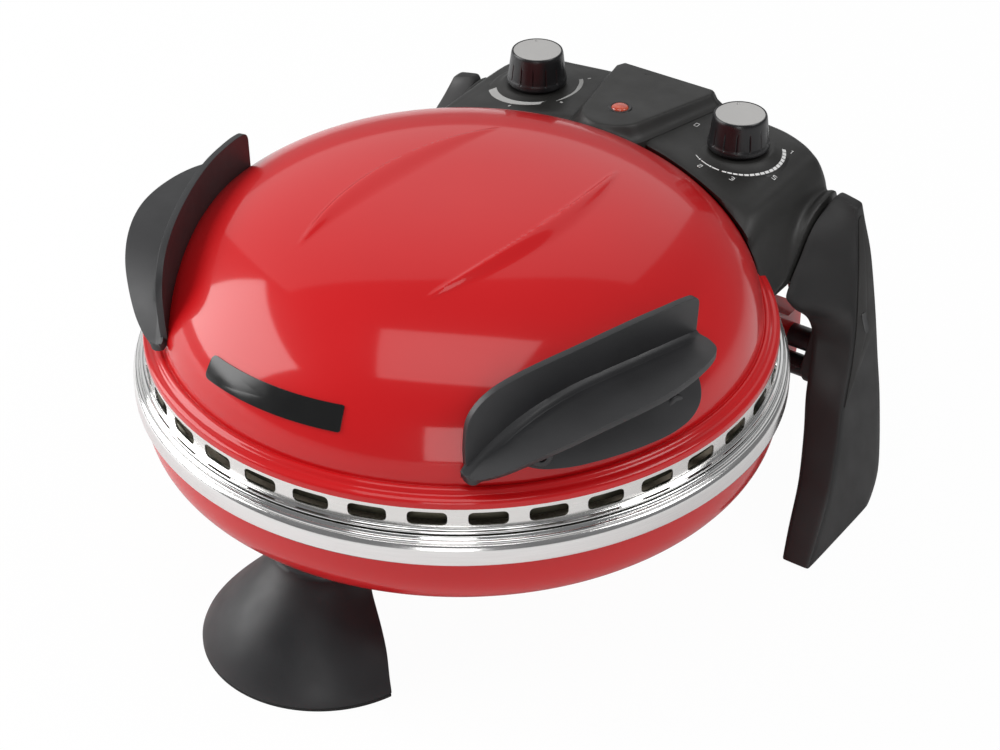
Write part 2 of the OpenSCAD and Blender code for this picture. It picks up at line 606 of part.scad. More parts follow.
// y of the dome's outside at a height and a distance from the centre plane
function dome_y(x, z, g) = sqrt(max(1, pow(dome_at(z, g), 2) - x * x));
// Section that hugs the lid, at a distance from the centre plane
function hug_ring(a, g) =
    let (top = max(skirt_top(a) - g, flange_z + 10), low = flange_z + 8, step = (top - low) / 3,
         f = console_gap + g)
    [[lip_y(a, g), console_low + g], [lip_y(a, g), flange_z + 5.5], [dome_y(a, low, f), low],
     [dome_y(a, low + step, f), low + step], [dome_y(a, low + 2 * step, f), low + 2 * step],
     [dome_y(a, top, f), top], [brow_y(a), brow_z(a) - g], [crown_y(a), crown_z(a) - g],
     [deck_back(a) - 8, deck_z(a) - g], [deck_back(a) - 2 - g, deck_z(a) - 2.5 - g],
     [deck_back(a) + 0.5 - g, deck_z(a) - 8 - g], [wall_back(a) - g, console_floor + 8],
     [wall_back(a) - 3 - g, console_floor + g], [chin_y + 3 + g, console_floor + g],
     [chin_y + g, console_low + g]];
// Section where the cheek meets the leg
function cheek_ring(g) = [[127 + g, console_low + g], [131.5 + g, 117], [135 + g, 120.5], [138.5 + g, 124],
    [142 + g, 128], [146 + g, 132.5], [150 + g, 137], [160 + g / 2, 144.5 - g], [172, 148 - g],
    [179 - g, 147.6 - g], [183 - g, 143 - g], [187 - g, console_floor + 8], [184 - g, console_floor + g],
    [chin_y + 3 + g, console_floor + g], [chin_y + g, console_low + g]];
blend_x = 88;
function console_ring(x, g) =
    let (a = abs(x), t = max(0, (a - blend_x) / (cheek_x - blend_x)), w = t * t * (3 - 2 * t),
         hug = hug_ring(a, g), cheek = cheek_ring(g))
    [for (i = [0 : len(hug) - 1])
        [x, (1 - w) * hug[i][0] + w * cheek[i][0], (1 - w) * hug[i][1] + w * cheek[i][1]]];
console_steps = 14;
function console_stations(half) = [for (i = [-console_steps : console_steps])
    half * sign(i) * pow(abs(i) / console_steps, 0.75)];
module console_loft(g) loft(reversed([for (x = console_stations(cheek_x - g)) console_ring(x, g)]));

// Raised nose that carries the lamp: straight sides that spread backwards and a round front
nose_front = 123;
nose_r = 18;
nose_top = 180;
nose_back_w = 30.2;
nose_back_y = 195;
module nose_plan(g) hull() {
    translate([0, nose_front + nose_r]) circle(r = nose_r - g, $fn = 40);
    for (side = [-1, 1]) translate([side * (nose_back_w - 1.5 - g), nose_back_y - 2 - g])
        circle(r = 1.5, $fn = 16);
}
// The nose rises from the deck and its top is planed to fall a little towards the back
module nose(g) intersection() {
    translate([0, 0, deck_z(0) - 6]) linear_extrude(height = nose_top - deck_z(0) + 6 - g) nose_plan(g);
    translate([0, nose_front, nose_top - g]) rotate([-nose_fall, 0, 0])
        translate([-60, -40, -60]) cube([120, 200, 60]);
}
nose_fall = 2.4;
function nose_z(y) = nose_top - (y - nose_front) * tan(nose_fall);
pedestal_r = 23;
pedestal_top_r = knob_r + 1.4;
deck_at_dial = deck_z(dial_x);
knob_z = dial_top - knob_h;
lamp_y = 145.3;
lamp_r = 5.6;
hatch_y = 182;
hatch_w = 10;
module console_shell() color([0.13, 0.13, 0.125]) place() difference() {
    union() {
        difference() {
            console_loft(0);
            console_loft(console_t);
        }
        nose(0);
        for (side = [-1, 1]) translate([side * dial_x, dial_y, deck_at_dial - 4])
            cylinder(r1 = pedestal_r + 2, r2 = pedestal_top_r, h = knob_z - 0.8 - deck_at_dial + 4);
    }
    nose(console_t);
    lid_solid(0.4);
    for (side = [-1, 1]) translate([side * dial_x, dial_y, 0]) {
        translate([0, 0, deck_at_dial - 8]) cylinder(r = 12, h = 8 + knob_z - 3.4 - deck_at_dial);
        translate([0, 0, 120]) cylinder(r = shaft_r + 0.6, h = 60);
    }
    translate([0, lamp_y, nose_top - 10]) cylinder(r = lamp_r, h = 20);
    // opening of the underside, closed by the base plate
    translate([-cheek_x + 14, hatch_y, console_floor - 5])
        cube([2 * cheek_x - 28, hatch_w, 5 + console_t + 1]);
}

module console_base() color([0.1, 0.1, 0.1]) place() difference() {
    translate([-cheek_x + 14, hatch_y, console_floor]) cube([2 * cheek_x - 28, hatch_w, console_t]);
    for (x = [-80, 80]) translate([x, hatch_y + hatch_w / 2, console_floor - 1])
        cylinder(r = screw_r, h = 10);
    for (x = [-24 : 8 : 24]) translate([x - 1.5, hatch_y + 3, console_floor - 1]) cube([3, 6, 10]);
}
module console_screws() color([0.6, 0.6, 0.6]) place() for (x = [-80, 80])
    translate([x, hatch_y + hatch_w / 2, console_floor - 1.4]) {
        cylinder(r = 3.8, h = 1.4);
        cylinder(r = screw_r - 0.1, h = 10);
    }

// Painted hinge ears under the console
ear_r = 8;
module lid_bracket() color([0.72, 0.07, 0.08]) place() difference() {
    both_sides() ear_plate(concat(
        [for (a = [-30 : 15 : 180]) [hinge_y - ear_r * cos(a), hinge_z - ear_r * sin(a)]],
        [[hinge_y + ear_r, console_floor], [chin_y + 3, console_floor], [chin_y - 1, console_floor],
        [chin_y - 1, console_low], [133, console_low], [139.5, lid_z - 1]]));
    along_hinge(0) cylinder(r = pin_r + run_fit, h = 200);
    mirror([1, 0, 0]) along_hinge(0) cylinder(r = pin_r + run_fit, h = 200);
}

// ---------- handles ----------

// Plan of the fin: how far out it stands at y
fin_back = -3;
fin_tip = -124;
function fin_x(y) = let (s = fin_back - y) 133 - 0.17 * s - 0.0017 * s * s;
// Height of the wing's top surface at y
function wing_z(y) = y < -45 ? 170 - 30 * pow((-45 - y) / 79, 3.2) : 170 - 3 * pow((y + 45) / 42, 2);
wing_plan = [[138, -3], [144, -4], [wing_reach - 4, -9], [wing_reach - 0.9, -20], [wing_reach, -34],
    [wing_reach - 1, -50], [wing_reach - 4, -64], [wing_reach - 9, -77], [wing_reach - 16, -90],
    [wing_reach - 25, -102], [wing_reach - 36, -112], [wing_reach - 47, -120], [wing_reach - 58, -125],
    [wing_reach - 68, -126]];
fin_steps = 14;
fin_ys = [for (i = [0 : fin_steps]) fin_back + (fin_tip - fin_back) * i / fin_steps];
// Band under the wing's top surface, seen from the side
module wing_band(up, down) {
    ys = [for (i = [0 : 24]) 2 - i * 130 / 24];
    rotate([90, 0, 90]) linear_extrude(height = 200) polygon(concat(
        [for (y = ys) [y, wing_z(max(y, fin_tip - 2)) + up]],
        [for (y = reversed(ys)) [y, wing_z(max(y, fin_tip - 2)) - down]]));
}
module handle() difference() {
    union() {
        // fin
        intersection() {
            linear_extrude(height = 240) polygon(concat(
                [for (y = fin_ys) [fin_x(y), y]], [for (y = reversed(fin_ys)) [fin_x(y) + handle_t, y]]));
            rotate([90, 0, 90]) linear_extrude(height = 200) polygon([
                [fin_back, 140], [fin_back, fin_top - 12], [fin_back - 3, fin_top - 6],
                [fin_back - 12, fin_top - 3], [-40, fin_top], [-62, fin_top - 1], [-88, fin_top - 4],
                [-100, fin_top - 6.5], [-110, fin_top - 10], [-116, fin_top - 14], [fin_tip + 3, fin_top - 19],
                [fin_tip + 0.5, fin_top - 25], [fin_tip, fin_top - 30], [fin_tip, 140]]);
        }
        // wing
        intersection() {
            linear_extrude(height = 240) polygon(concat(wing_plan,
                [for (y = reversed(fin_ys)) [fin_x(y) + 0.5, y]]));
            wing_band(0, handle_t);
        }
        // guard between the fingers and the dome
        intersection() {
            rotate_extrude() polygon(concat(
                [for (p = dome_profile(handle_gap)) if (p[1] > flange_z + 8 && p[1] < 188) p],
                reversed([for (p = dome_profile(handle_gap + handle_t))
                    if (p[1] > flange_z + 8 && p[1] < 188) p])));
            rotate([90, 0, 90]) linear_extrude(height = 200) polygon([
                [-22, 165], [-20, 156], [-23, 147], [-30, 141], [-42, 138.5], [-96, 138.5], [-103, 140],
                [-110, 144], [-112, wing_z(-112) - 1], [-104, wing_z(-104) - 1], [-92, wing_z(-92) - 1],
                [-76, wing_z(-76) - 1], [-50, wing_z(-50) - 1]]);
        }
        // screw bosses
        handle_boss_axes() cylinder(r = 6, h = 9);
    }
    lid_solid(0.6);
    difference() {
        handle_boss_axes() translate([0, 0, -4]) cylinder(r = screw_r, h = 10);
        lid_solid(-1);
    }
    // nothing of the handle stands inside the fin
    linear_extrude(height = 240) polygon(concat([[40, fin_back], [40, fin_tip]],
        [for (y = reversed(fin_ys)) [fin_x(y), y]]));
}
handle_screw_z = 149;
// Radial axes of the two screws of one handle, drawn from inside the dome outwards
module radial(r) for (a = shell_bore_angles) rotate([0, 0, a]) translate([r, 0, handle_screw_z])
    rotate([0, 90, 0]) children();
module handle_boss_axes() radial(dome_at(handle_screw_z) + handle_gap - 1.6) children();
module handle_screw_axes() both_sides() radial(dome_at(handle_screw_z) - 12) children();
module right_handle() color([0.12, 0.12, 0.13]) place() handle();
module left_handle() color([0.12, 0.12, 0.13]) place() mirror([1, 0, 0]) handle();
module handle_screws() color([0.7, 0.7, 0.7]) place() both_sides()
    radial(dome_at(handle_screw_z) - sheet_t - 4.2) {
        cylinder(r = 4, h = 2);
        cylinder(r = screw_r - 0.1, h = 10);
    }

// ---------- controls ----------

can_top = deck_at_dial - 8.6;
module control_can(side, h, w) translate([side * dial_x, dial_y, 0]) difference() {
    union() {
        translate([-w / 2, -w / 2 + 6, can_top - h]) cube([w, w - 6, h]);
        translate([0, 0, can_top - 1]) cylinder(r = 7, h = 5);
    }
    translate([0, 0, can_top - 14]) cylinder(r = shaft_r + run_fit, h = 40);
}
module thermostat_body() color([0.7, 0.7, 0.68]) place() control_can(-1, 18, 30);
module timer_body() color([0.7, 0.7, 0.68]) place() control_can(1, 22, 34);
module timer_bell() color([0.75, 0.7, 0.55]) place() translate([dial_x - 6, dial_y + 6, can_top - 32])
    rotate_extrude() polygon([[0, 0], [8, 0], [11, 2], [12, 7], [11, 7], [10, 2.8], [7.6, 1], [2, 1],
        [2, 10], [0, 10]]);

module control_shaft(side) color([0.75, 0.73, 0.7]) place() translate([side * dial_x, dial_y, can_top - 10])
    cylinder(r = shaft_r, h = knob_z + 10 - can_top + 10);
module thermostat_shaft() control_shaft(-1);
module timer_shaft() control_shaft(1);

cap_r = knob_top_r - 1;
cap_t = 1.4;
module knob(side) color([0.1, 0.1, 0.1]) place() translate([side * dial_x, dial_y, knob_z]) difference() {
    rotate_extrude() polygon([[0, 0], [knob_r - 0.4, 0], [knob_r, 0.6], [knob_r, 2.6], [knob_r - 1, 3.4],
        [knob_top_r + 0.3, knob_h - 1.2], [knob_top_r - 0.5, knob_h - 0.2], [knob_top_r - 1, knob_h - 0.2],
        [0, knob_h - 0.2]]);
    for (i = [0 : flute_count - 1]) rotate([0, 0, 360 * i / flute_count])
        translate([knob_r - 0.8, 0, 3.6]) rotate([0, -atan((knob_r - 1 - knob_top_r) / knob_h), 0])
            cylinder(r = 0.7, h = knob_h, $fn = 16);
    translate([0, 0, knob_h - cap_t]) cylinder(r = cap_r + 0.05, h = 4);
    translate([0, 0, -1]) cylinder(r = shaft_r, h = 11);
    difference() {
        translate([0, 0, -1]) cylinder(r = knob_r - 3.4, h = 9);
        translate([0, 0, -2]) cylinder(r = shaft_r + 2.4, h = 11);
    }
}
module thermostat_knob() knob(-1);
module timer_knob() knob(1);
module dial_cap(side) color([0.83, 0.83, 0.83]) place() translate([side * dial_x, dial_y, dial_top - cap_t])
    difference() {
        rotate_extrude() polygon([[0, 0], [cap_r, 0], [cap_r, cap_t - 0.3], [cap_r - 0.3, cap_t],
            [cap_r - 1.2, cap_t], [cap_r - 3, cap_t - 0.4], [0, cap_t - 0.5]]);
        rotate([0, 0, 118]) translate([cap_r - 1.6, 0, 0.6]) cylinder(r = 0.8, h = 2);
    }
module thermostat_cap() dial_cap(-1);
module timer_cap() dial_cap(1);

lamp_seat_z = nose_z(lamp_y) - console_t - 4.8;
module lamp_lens() color([0.85, 0.2, 0.12]) place() translate([0, lamp_y, lamp_seat_z])
    rotate_extrude() polygon([[0, 0], [lamp_r - 1, 0], [lamp_r - 1, 7.6], [lamp_r - 2, 8.5], [0, 9]]);
module lamp_holder() color([0.15, 0.15, 0.15]) place() translate([0, lamp_y, lamp_seat_z - 3]) difference() {
    cylinder(r = lamp_r + 1.6, h = 7.4);
    translate([0, 0, 3]) cylinder(r = lamp_r - 0.9, h = 10);
}

// Bare plate low on the front of the dome
badge_angle = -92.3;
badge_w = 82;
badge_h = 12;
badge_corner = 3;
badge_z = 154;
module badge_plate() color([0.08, 0.08, 0.08]) place() intersection() {
    rotate_extrude() polygon(concat(
        [for (p = dome_profile(0.05)) if (p[1] > 140 && p[1] < 172) p],
        reversed([for (p = dome_profile(1)) if (p[1] > 140 && p[1] < 172) p])));
    rotate([0, 0, badge_angle]) translate([60, 0, badge_z]) rotate([0, 90, 0]) linear_extrude(height = 120)
        hull() for (a = [-1, 1]) for (b = [-1, 1])
            translate([a * (badge_h / 2 - badge_corner), b * (badge_w / 2 - badge_corner)])
                circle(r = badge_corner, $fn = 32);
}

lower_shell();
base_band();
base_rim();
lower_reflector();
lower_heater();
lower_heater_clips();
stone();
front_foot();
front_foot_pad();
foot_screws();
left_leg();
right_leg();
left_leg_cover();
right_leg_cover();
leg_pads();
leg_screws();
base_bracket();
leg_sleeves();
leg_bolts();
hinge_pins();
terminal_box();
upper_shell();
slotted_band();
lid_rim();
lid_reflector();
upper_heater();
upper_heater_clips();
console_shell();
console_base();
console_screws();
lid_bracket();
left_handle();
right_handle();
handle_screws();
thermostat_body();
timer_body();
timer_bell();
lamp_lens();
lamp_holder();
badge_plate();
thermostat_shaft();
thermostat_knob();
thermostat_cap();
timer_shaft();
timer_knob();
timer_cap();
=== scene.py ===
"""Countertop pizza oven with a hinged dome lid, dressed over its CAD frame."""
import math
import bpy
import bmesh
import numpy as np
from mathutils import Matrix, Vector


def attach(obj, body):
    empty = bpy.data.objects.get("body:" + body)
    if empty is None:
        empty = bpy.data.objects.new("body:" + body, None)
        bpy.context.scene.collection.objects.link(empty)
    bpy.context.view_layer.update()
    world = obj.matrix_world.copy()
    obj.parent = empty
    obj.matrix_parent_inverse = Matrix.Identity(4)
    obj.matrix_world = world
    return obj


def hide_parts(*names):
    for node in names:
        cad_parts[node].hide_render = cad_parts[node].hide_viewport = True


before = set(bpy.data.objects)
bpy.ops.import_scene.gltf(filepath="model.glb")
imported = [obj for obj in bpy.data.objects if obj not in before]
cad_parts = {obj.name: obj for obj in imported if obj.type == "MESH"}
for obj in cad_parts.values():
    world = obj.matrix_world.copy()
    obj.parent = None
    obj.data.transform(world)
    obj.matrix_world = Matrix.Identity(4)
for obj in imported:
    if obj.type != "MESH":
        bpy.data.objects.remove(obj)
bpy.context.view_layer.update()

MM = 0.001
# The round body's axis stands this far from the frame's origin, in millimetres
AXIS_Y = -14.0

# ---------- lengths shared by the pieces, in millimetres from the body's axis and the table ----------
BAND_R, BAND_Z, BAND_TOP = 166.8, 95.5, 107.0
BOWL_R, BOWL_D, BOWL_N = 163.2, 46.5, 3.4
LID_Z, SLOT_Z, FLANGE_Z, FLANGE_R = 111.2, 113.3, 123.6, 160.3
DOME_R, DOME_Z, DOME_H, DOME_N, DOME_M = 152.0, 127.0, 73.5, 2.74, 2.07
SHEET = 1.2
DIAL_X, DIAL_Y, KNOB_Z, DIAL_TOP = 64.4, 161.3, 169.2, 188.6
CHEEK_X = 114.0
LAMP_Y = 145.3


# ---------- small geometry helpers ----------

def metres(points):
    """Millimetre points around the body's axis, as metres in the frame."""
    return (np.asarray(points, float) + (0.0, AXIS_Y, 0.0)) * MM


def curve(x, xs, ys):
    """Smooth table: a cubic through the points (xs, ys) whose slopes are the mean of its neighbours' slopes."""
    xs, ys = np.asarray(xs, float), np.asarray(ys, float)
    slope = np.gradient(ys, xs)
    x = np.clip(x, xs[0], xs[-1])
    k = np.clip(np.searchsorted(xs, x) - 1, 0, len(xs) - 2)
    h = xs[k + 1] - xs[k]
    t = (x - xs[k]) / h
    return ((2 * t**3 - 3 * t**2 + 1) * ys[k] + (t**3 - 2 * t**2 + t) * h * slope[k]
            + (3 * t**2 - 2 * t**3) * ys[k + 1] + (t**3 - t**2) * h * slope[k + 1])


def ease(t):
    """Smooth step: 3t^2 - 2t^3 between 0 and 1."""
    t = np.clip(t, 0, 1)
    return t * t * (3 - 2 * t)


def rounded(points, radius, steps=5, closed=True):
    """Polyline whose corners are replaced by parabolic arcs that start `radius` before each corner and end
    `radius` after it, or at 45% of a shorter side. `radius` may be one number or one for each corner."""
    p = np.asarray(points, float)
    r = np.broadcast_to(np.asarray(radius, float), len(p))[:, None]
    before, after = np.roll(p, 1, 0) - p, np.roll(p, -1, 0) - p
    lb, la = np.linalg.norm(before, axis=1)[:, None], np.linalg.norm(after, axis=1)[:, None]
    a = p + before / lb * np.minimum(r, 0.45 * lb)
    b = p + after / la * np.minimum(r, 0.45 * la)
    t = np.linspace(0, 1, steps)[None, :, None]
    out = (1 - t)**2 * a[:, None] + 2 * t * (1 - t) * p[:, None] + t**2 * b[:, None]
    if not closed:
        out[0], out[-1] = p[0], p[-1]
    return out.reshape(-1, p.shape[1])


def even(points, count, closed=False):
    """The same line cut into `count` points at equal steps of its length."""
    p = np.asarray(points, float)
    if closed:
        p = np.vstack([p, p[:1]])
    s = np.concatenate([[0], np.cumsum(np.linalg.norm(np.diff(p, axis=0), axis=1))])
    t = np.linspace(0, s[-1], count + (1 if closed else 0))
    if closed:
        t = t[:-1]
    return np.stack([np.interp(t, s, p[:, i]) for i in range(p.shape[1])], 1)


def closed_line(corners, radii, steps, count):
    """A closed outline of rounded corners cut into `count` points at equal steps."""
    return even(rounded(corners, radii, steps), count, closed=True)


def polar(degrees):
    """Unit vector in the plan at an angle."""
    return np.array((math.cos(math.radians(degrees)), math.sin(math.radians(degrees))))


def xyz(x, y, z):
    """Points from their coordinates, each a number or an array."""
    return np.stack(np.broadcast_arrays(x, y, z), -1)


def quads(nu, nv, wrap_u=False, wrap_v=False):
    """Faces of a grid of nu by nv points, closed along u or v where asked."""
    i = np.arange(nu if wrap_u else nu - 1)[:, None]
    j = np.arange(nv if wrap_v else nv - 1)[None, :]
    i2, j2 = (i + 1) % nu, (j + 1) % nv
    return np.stack([i * nv + j, i2 * nv + j, i2 * nv + j2, i * nv + j2], -1).reshape(-1, 4)


def loops(points):
    """A grid of points whose rows are closed loops, with its faces."""
    return points, quads(*points.shape[:2], False, True)


# Body and material slot of each piece, for its copy on the other side
PLACED = {}


def declare(obj, body, slot, replaced):
    """Links a piece and states its body, its material slot and the nodes it stands for."""
    bpy.context.scene.collection.objects.link(obj)
    PLACED[obj.name] = body, slot
    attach(obj, body)
    if replaced:
        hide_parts(*replaced)
    return obj


def piece(name, parts, body, material, replaced=(), slot=None, sharp=35, merge=2e-6, outward=True):
    """A mesh object in metres from (points in mm, faces) parts. Doubles are merged and, on a closed mesh,
    faces are turned outwards."""
    verts, faces, start = [], [], 0
    for points, f in parts:
        points = np.asarray(points, float).reshape(-1, 3)
        verts.append(metres(points))
        faces += (np.asarray(f) + start).tolist()
        start += len(points)
    mesh = bpy.data.meshes.new(name)
    mesh.from_pydata(np.vstack(verts).tolist(), [], faces)
    bm = bmesh.new()
    bm.from_mesh(mesh)
    bmesh.ops.remove_doubles(bm, verts=bm.verts, dist=merge)
    bmesh.ops.dissolve_degenerate(bm, dist=1e-8, edges=bm.edges)
    if outward:
        bmesh.ops.recalc_face_normals(bm, faces=bm.faces)
    bm.to_mesh(mesh)
    bm.free()
    mesh.materials.append(material)
    obj = bpy.data.objects.new(name, mesh)
    settle(obj, sharp)
    return declare(obj, body, slot, replaced)


def settle(obj, sharp):
    """Smooth shading with edges sharper than `sharp` degrees kept crisp."""
    obj.data.shade_smooth()
    obj.data.set_sharp_from_angle(angle=math.radians(sharp))


def finish_sheet(obj, thickness=0.0, bevel=0.0, smooth=0, sharp=35):
    """Gives an open sheet its wall and rounded edges, or smooths a cage, and keeps the result as the mesh."""
    if smooth:
        m = obj.modifiers.new("smooth", "SUBSURF")
        m.levels = m.render_levels = smooth
    if thickness:
        m = obj.modifiers.new("wall", "SOLIDIFY")
        m.thickness = thickness * MM
        m.offset = -1
        m.use_even_offset = True
    if bevel:
        m = obj.modifiers.new("edge", "BEVEL")
        m.width = bevel * MM
        m.segments = 3
        m.limit_method = "ANGLE"
        m.angle_limit = math.radians(50)
    deps = bpy.context.evaluated_depsgraph_get()
    deps.update()
    mesh = bpy.data.meshes.new_from_object(obj.evaluated_get(deps))
    obj.modifiers.clear()
    obj.data = mesh
    settle(obj, sharp)
    return obj


def revolve(profile, count=360, centre=(0.0, 0.0), closed=True, ripple=None):
    """A profile of (radius, height), closed or not, turned about a vertical axis.
    `ripple(angle, radius, height)` may return a changed (radius, height)."""
    p = np.asarray(profile, float)
    angle = np.linspace(0, 2 * np.pi, count, endpoint=False)[:, None]
    r, z = np.broadcast_to(p[:, 0], (count, len(p))), np.broadcast_to(p[:, 1], (count, len(p)))
    if ripple:
        r, z = ripple(angle, r, z)
    points = xyz(centre[0] + r * np.cos(angle), centre[1] + r * np.sin(angle), z)
    return points, quads(count, len(p), True, closed)


def disc_grid(outline, centre, rings):
    """Points between a centre and a closed outline: the outline shrunk towards the centre by each of `rings`,
    from 1 at the outline to 0 at the centre."""
    o, c = np.asarray(outline, float), np.asarray(centre, float)
    k = np.asarray(rings, float)[:, None, None]
    return c + (o[None] - c) * k


def mirrored(obj, *replaced):
    """The same piece on the left, with its faces turned back outwards."""
    body, slot = PLACED[obj.name]
    other = obj.copy()
    other.data = obj.data.copy()
    other.name = other.data.name = obj.name.replace("right", "left")
    bm = bmesh.new()
    bm.from_mesh(other.data)
    bmesh.ops.scale(bm, vec=(-1, 1, 1), verts=bm.verts)
    bmesh.ops.reverse_faces(bm, faces=bm.faces)
    bm.to_mesh(other.data)
    bm.free()
    settle(other, 35)
    other.parent = None
    for key in list(other.keys()):
        del other[key]
    declare(other, body, slot, replaced)


def face_along(obj, direction):
    """Turns an open sheet over if its faces look, on the whole, against a direction."""
    if sum((f.normal for f in obj.data.polygons), Vector()).dot(direction) < 0:
        obj.data.flip_normals()


# ---------- finishes ----------

def feed(node, **inputs):
    """Sets a node's inputs, named with _ for each blank, and gives the node back."""
    for name, value in inputs.items():
        node.inputs[name.replace("_", " ")].default_value = value
    return node


class Finish:
    """A principled material with the procedural detail of one real finish, in object coordinates."""

    def __init__(self, name, colour, roughness, metallic=0.0, coat=0.0, coat_roughness=0.03, specular=0.5):
        self.material = bpy.data.materials.new(name)
        self.material.use_nodes = True
        self.nodes, self.links = self.material.node_tree.nodes, self.material.node_tree.links
        self.shader = self.nodes["Principled BSDF"]
        self.colour = colour
        feed(self.shader, Base_Color=(*colour, 1), Roughness=roughness, Metallic=metallic, Coat_Weight=coat,
             Coat_Roughness=coat_roughness, Specular_IOR_Level=specular)
        self.place = self.nodes.new("ShaderNodeTexCoord").outputs["Object"]
        self.height = None

    def pattern(self, kind, scale, stretch=(1, 1, 1), at=(0, 0, 0)):
        """A texture node with `scale` features per metre, stretched along the axes or centred at a point."""
        mapping = feed(self.nodes.new("ShaderNodeMapping"), Scale=stretch, Location=[-a for a in at])
        self.links.new(self.place, mapping.inputs["Vector"])
        node = feed(self.nodes.new(kind), Scale=scale)
        self.links.new(mapping.outputs["Vector"], node.inputs["Vector"])
        return node

    def noise(self, scale, detail=3.0, stretch=(1, 1, 1)):
        """Soft random pattern."""
        return feed(self.pattern("ShaderNodeTexNoise", scale, stretch), Detail=detail).outputs["Fac"]

    def rings(self, scale, at):
        """Concentric turned rings round a vertical axis at a point in metres."""
        wave = feed(self.pattern("ShaderNodeTexWave", scale, at=at), Distortion=1.2, Detail=3)
        wave.wave_type, wave.rings_direction = "RINGS", "Z"
        return wave.outputs["Fac"]

    def speckle(self, scale):
        """Distance to the nearest of scattered points, for grains and pores."""
        return self.pattern("ShaderNodeTexVoronoi", scale).outputs["Distance"]

    def spread(self, fac, low, high, socket):
        """Maps a pattern from 0..1 to low..high on a number socket."""
        node = feed(self.nodes.new("ShaderNodeMapRange"), From_Min=0.3, From_Max=0.7, To_Min=low, To_Max=high)
        self.links.new(fac, node.inputs["Value"])
        self.links.new(node.outputs["Result"], self.shader.inputs[socket])
        return self

    def tones(self, fac, stops):
        """Colours along a pattern: stops of (place, colour)."""
        ramp = self.nodes.new("ShaderNodeValToRGB")
        while len(ramp.color_ramp.elements) < len(stops):
            ramp.color_ramp.elements.new(0.5)
        for element, (place, colour) in zip(ramp.color_ramp.elements, stops):
            element.position, element.color = place, (*colour, 1)
        self.links.new(fac, ramp.inputs["Fac"])
        self.links.new(ramp.outputs["Color"], self.shader.inputs["Base Color"])
        return self

    def relief(self, fac, depth, strength=1.0):
        """Bump of `depth` millimetres from a pattern, stacked on any earlier one."""
        bump = feed(self.nodes.new("ShaderNodeBump"), Strength=strength, Distance=depth * MM)
        self.links.new(fac, bump.inputs["Height"])
        if self.height:
            self.links.new(self.height, bump.inputs["Normal"])
        self.height = bump.outputs["Normal"]
        self.links.new(self.height, self.shader.inputs["Normal"])
        return self


def shade(colour, k):
    """A colour made k times as strong."""
    return tuple(min(1.0, c * k) for c in colour)


def mottled(finish, fac, k_low, k_high):
    """Colour drifting between two strengths of the finish's own colour."""
    return finish.tones(fac, [(0.3, shade(finish.colour, k_low)), (0.7, shade(finish.colour, k_high))])


def moulded(name, colour, roughness, grain=0.05):
    """Moulded plastic with a fine eroded grain."""
    f = Finish(name, colour, roughness, specular=0.5)
    mottled(f, f.noise(35), 0.86, 1.16)
    f.spread(f.noise(60), roughness - 0.05, roughness + 0.07, "Roughness")
    f.relief(f.noise(1500, 2), grain, 0.5)
    f.relief(f.noise(420, 2), grain, 0.25)
    return f.material


def enamel():
    """Red glossy enamel: a clear coat over a slightly uneven red."""
    f = Finish("red_enamel", (0.60, 0.0065, 0.009), 0.38, coat=0.70, coat_roughness=0.085, specular=0.12)
    mottled(f, f.noise(9), 0.96, 1.04)
    f.relief(f.noise(240, 2), 0.02, 0.12)
    return f.material


def brushed(name, colour, roughness, stretch, scale=60, depth=0.02):
    """Metal with fine lines along one direction: noise squeezed hard across them."""
    f = Finish(name, colour, roughness, metallic=1.0)
    line = f.noise(scale, 4, stretch)
    mottled(f, line, 0.95, 1.03)
    f.spread(line, roughness * 0.85, roughness * 1.2, "Roughness")
    f.relief(line, depth, 0.3)
    return f.material


def turned(name, colour, roughness, at):
    """Metal with fine rings round a vertical axis."""
    f = Finish(name, colour, roughness, metallic=1.0)
    line = f.rings(900, at)
    mottled(f, f.noise(50), 0.97, 1.03)
    f.spread(line, roughness * 0.9, roughness * 1.12, "Roughness")
    f.relief(line, 0.002, 0.2)
    return f.material


def worn(name, colour, roughness, metallic, scale=120, low=0.75, high=1.2):
    """Metal or clay with blotches of lighter and darker tone."""
    f = Finish(name, colour, roughness, metallic=metallic)
    mottled(f, f.noise(scale, 5), low, high)
    f.spread(f.noise(scale * 0.6), roughness - 0.08, roughness + 0.1, "Roughness")
    f.relief(f.noise(scale * 6, 3), 0.04, 0.4)
    return f.material


def fired_clay():
    """Unglazed clay with darker grains."""
    f = Finish("fired_clay", (0.66, 0.56, 0.42), 0.85)
    f.tones(f.speckle(700), [(0.0, (0.36, 0.27, 0.18)), (0.12, (0.62, 0.52, 0.38)), (0.6, (0.72, 0.63, 0.49))])
    f.relief(f.noise(900, 4), 0.15, 0.5)
    return f.material


def lens_red():
    """Red lens with a faint glow and a pebbled face."""
    f = Finish("lamp_red", (0.50, 0.05, 0.02), 0.12, coat=0.6)
    f.tones(f.noise(300), [(0.3, (0.34, 0.025, 0.012)), (0.7, (0.60, 0.10, 0.04))])
    feed(f.shader, Emission_Color=(1.0, 0.10, 0.03, 1), Emission_Strength=0.05)
    f.relief(f.speckle(900), 0.12, 0.5)
    return f.material


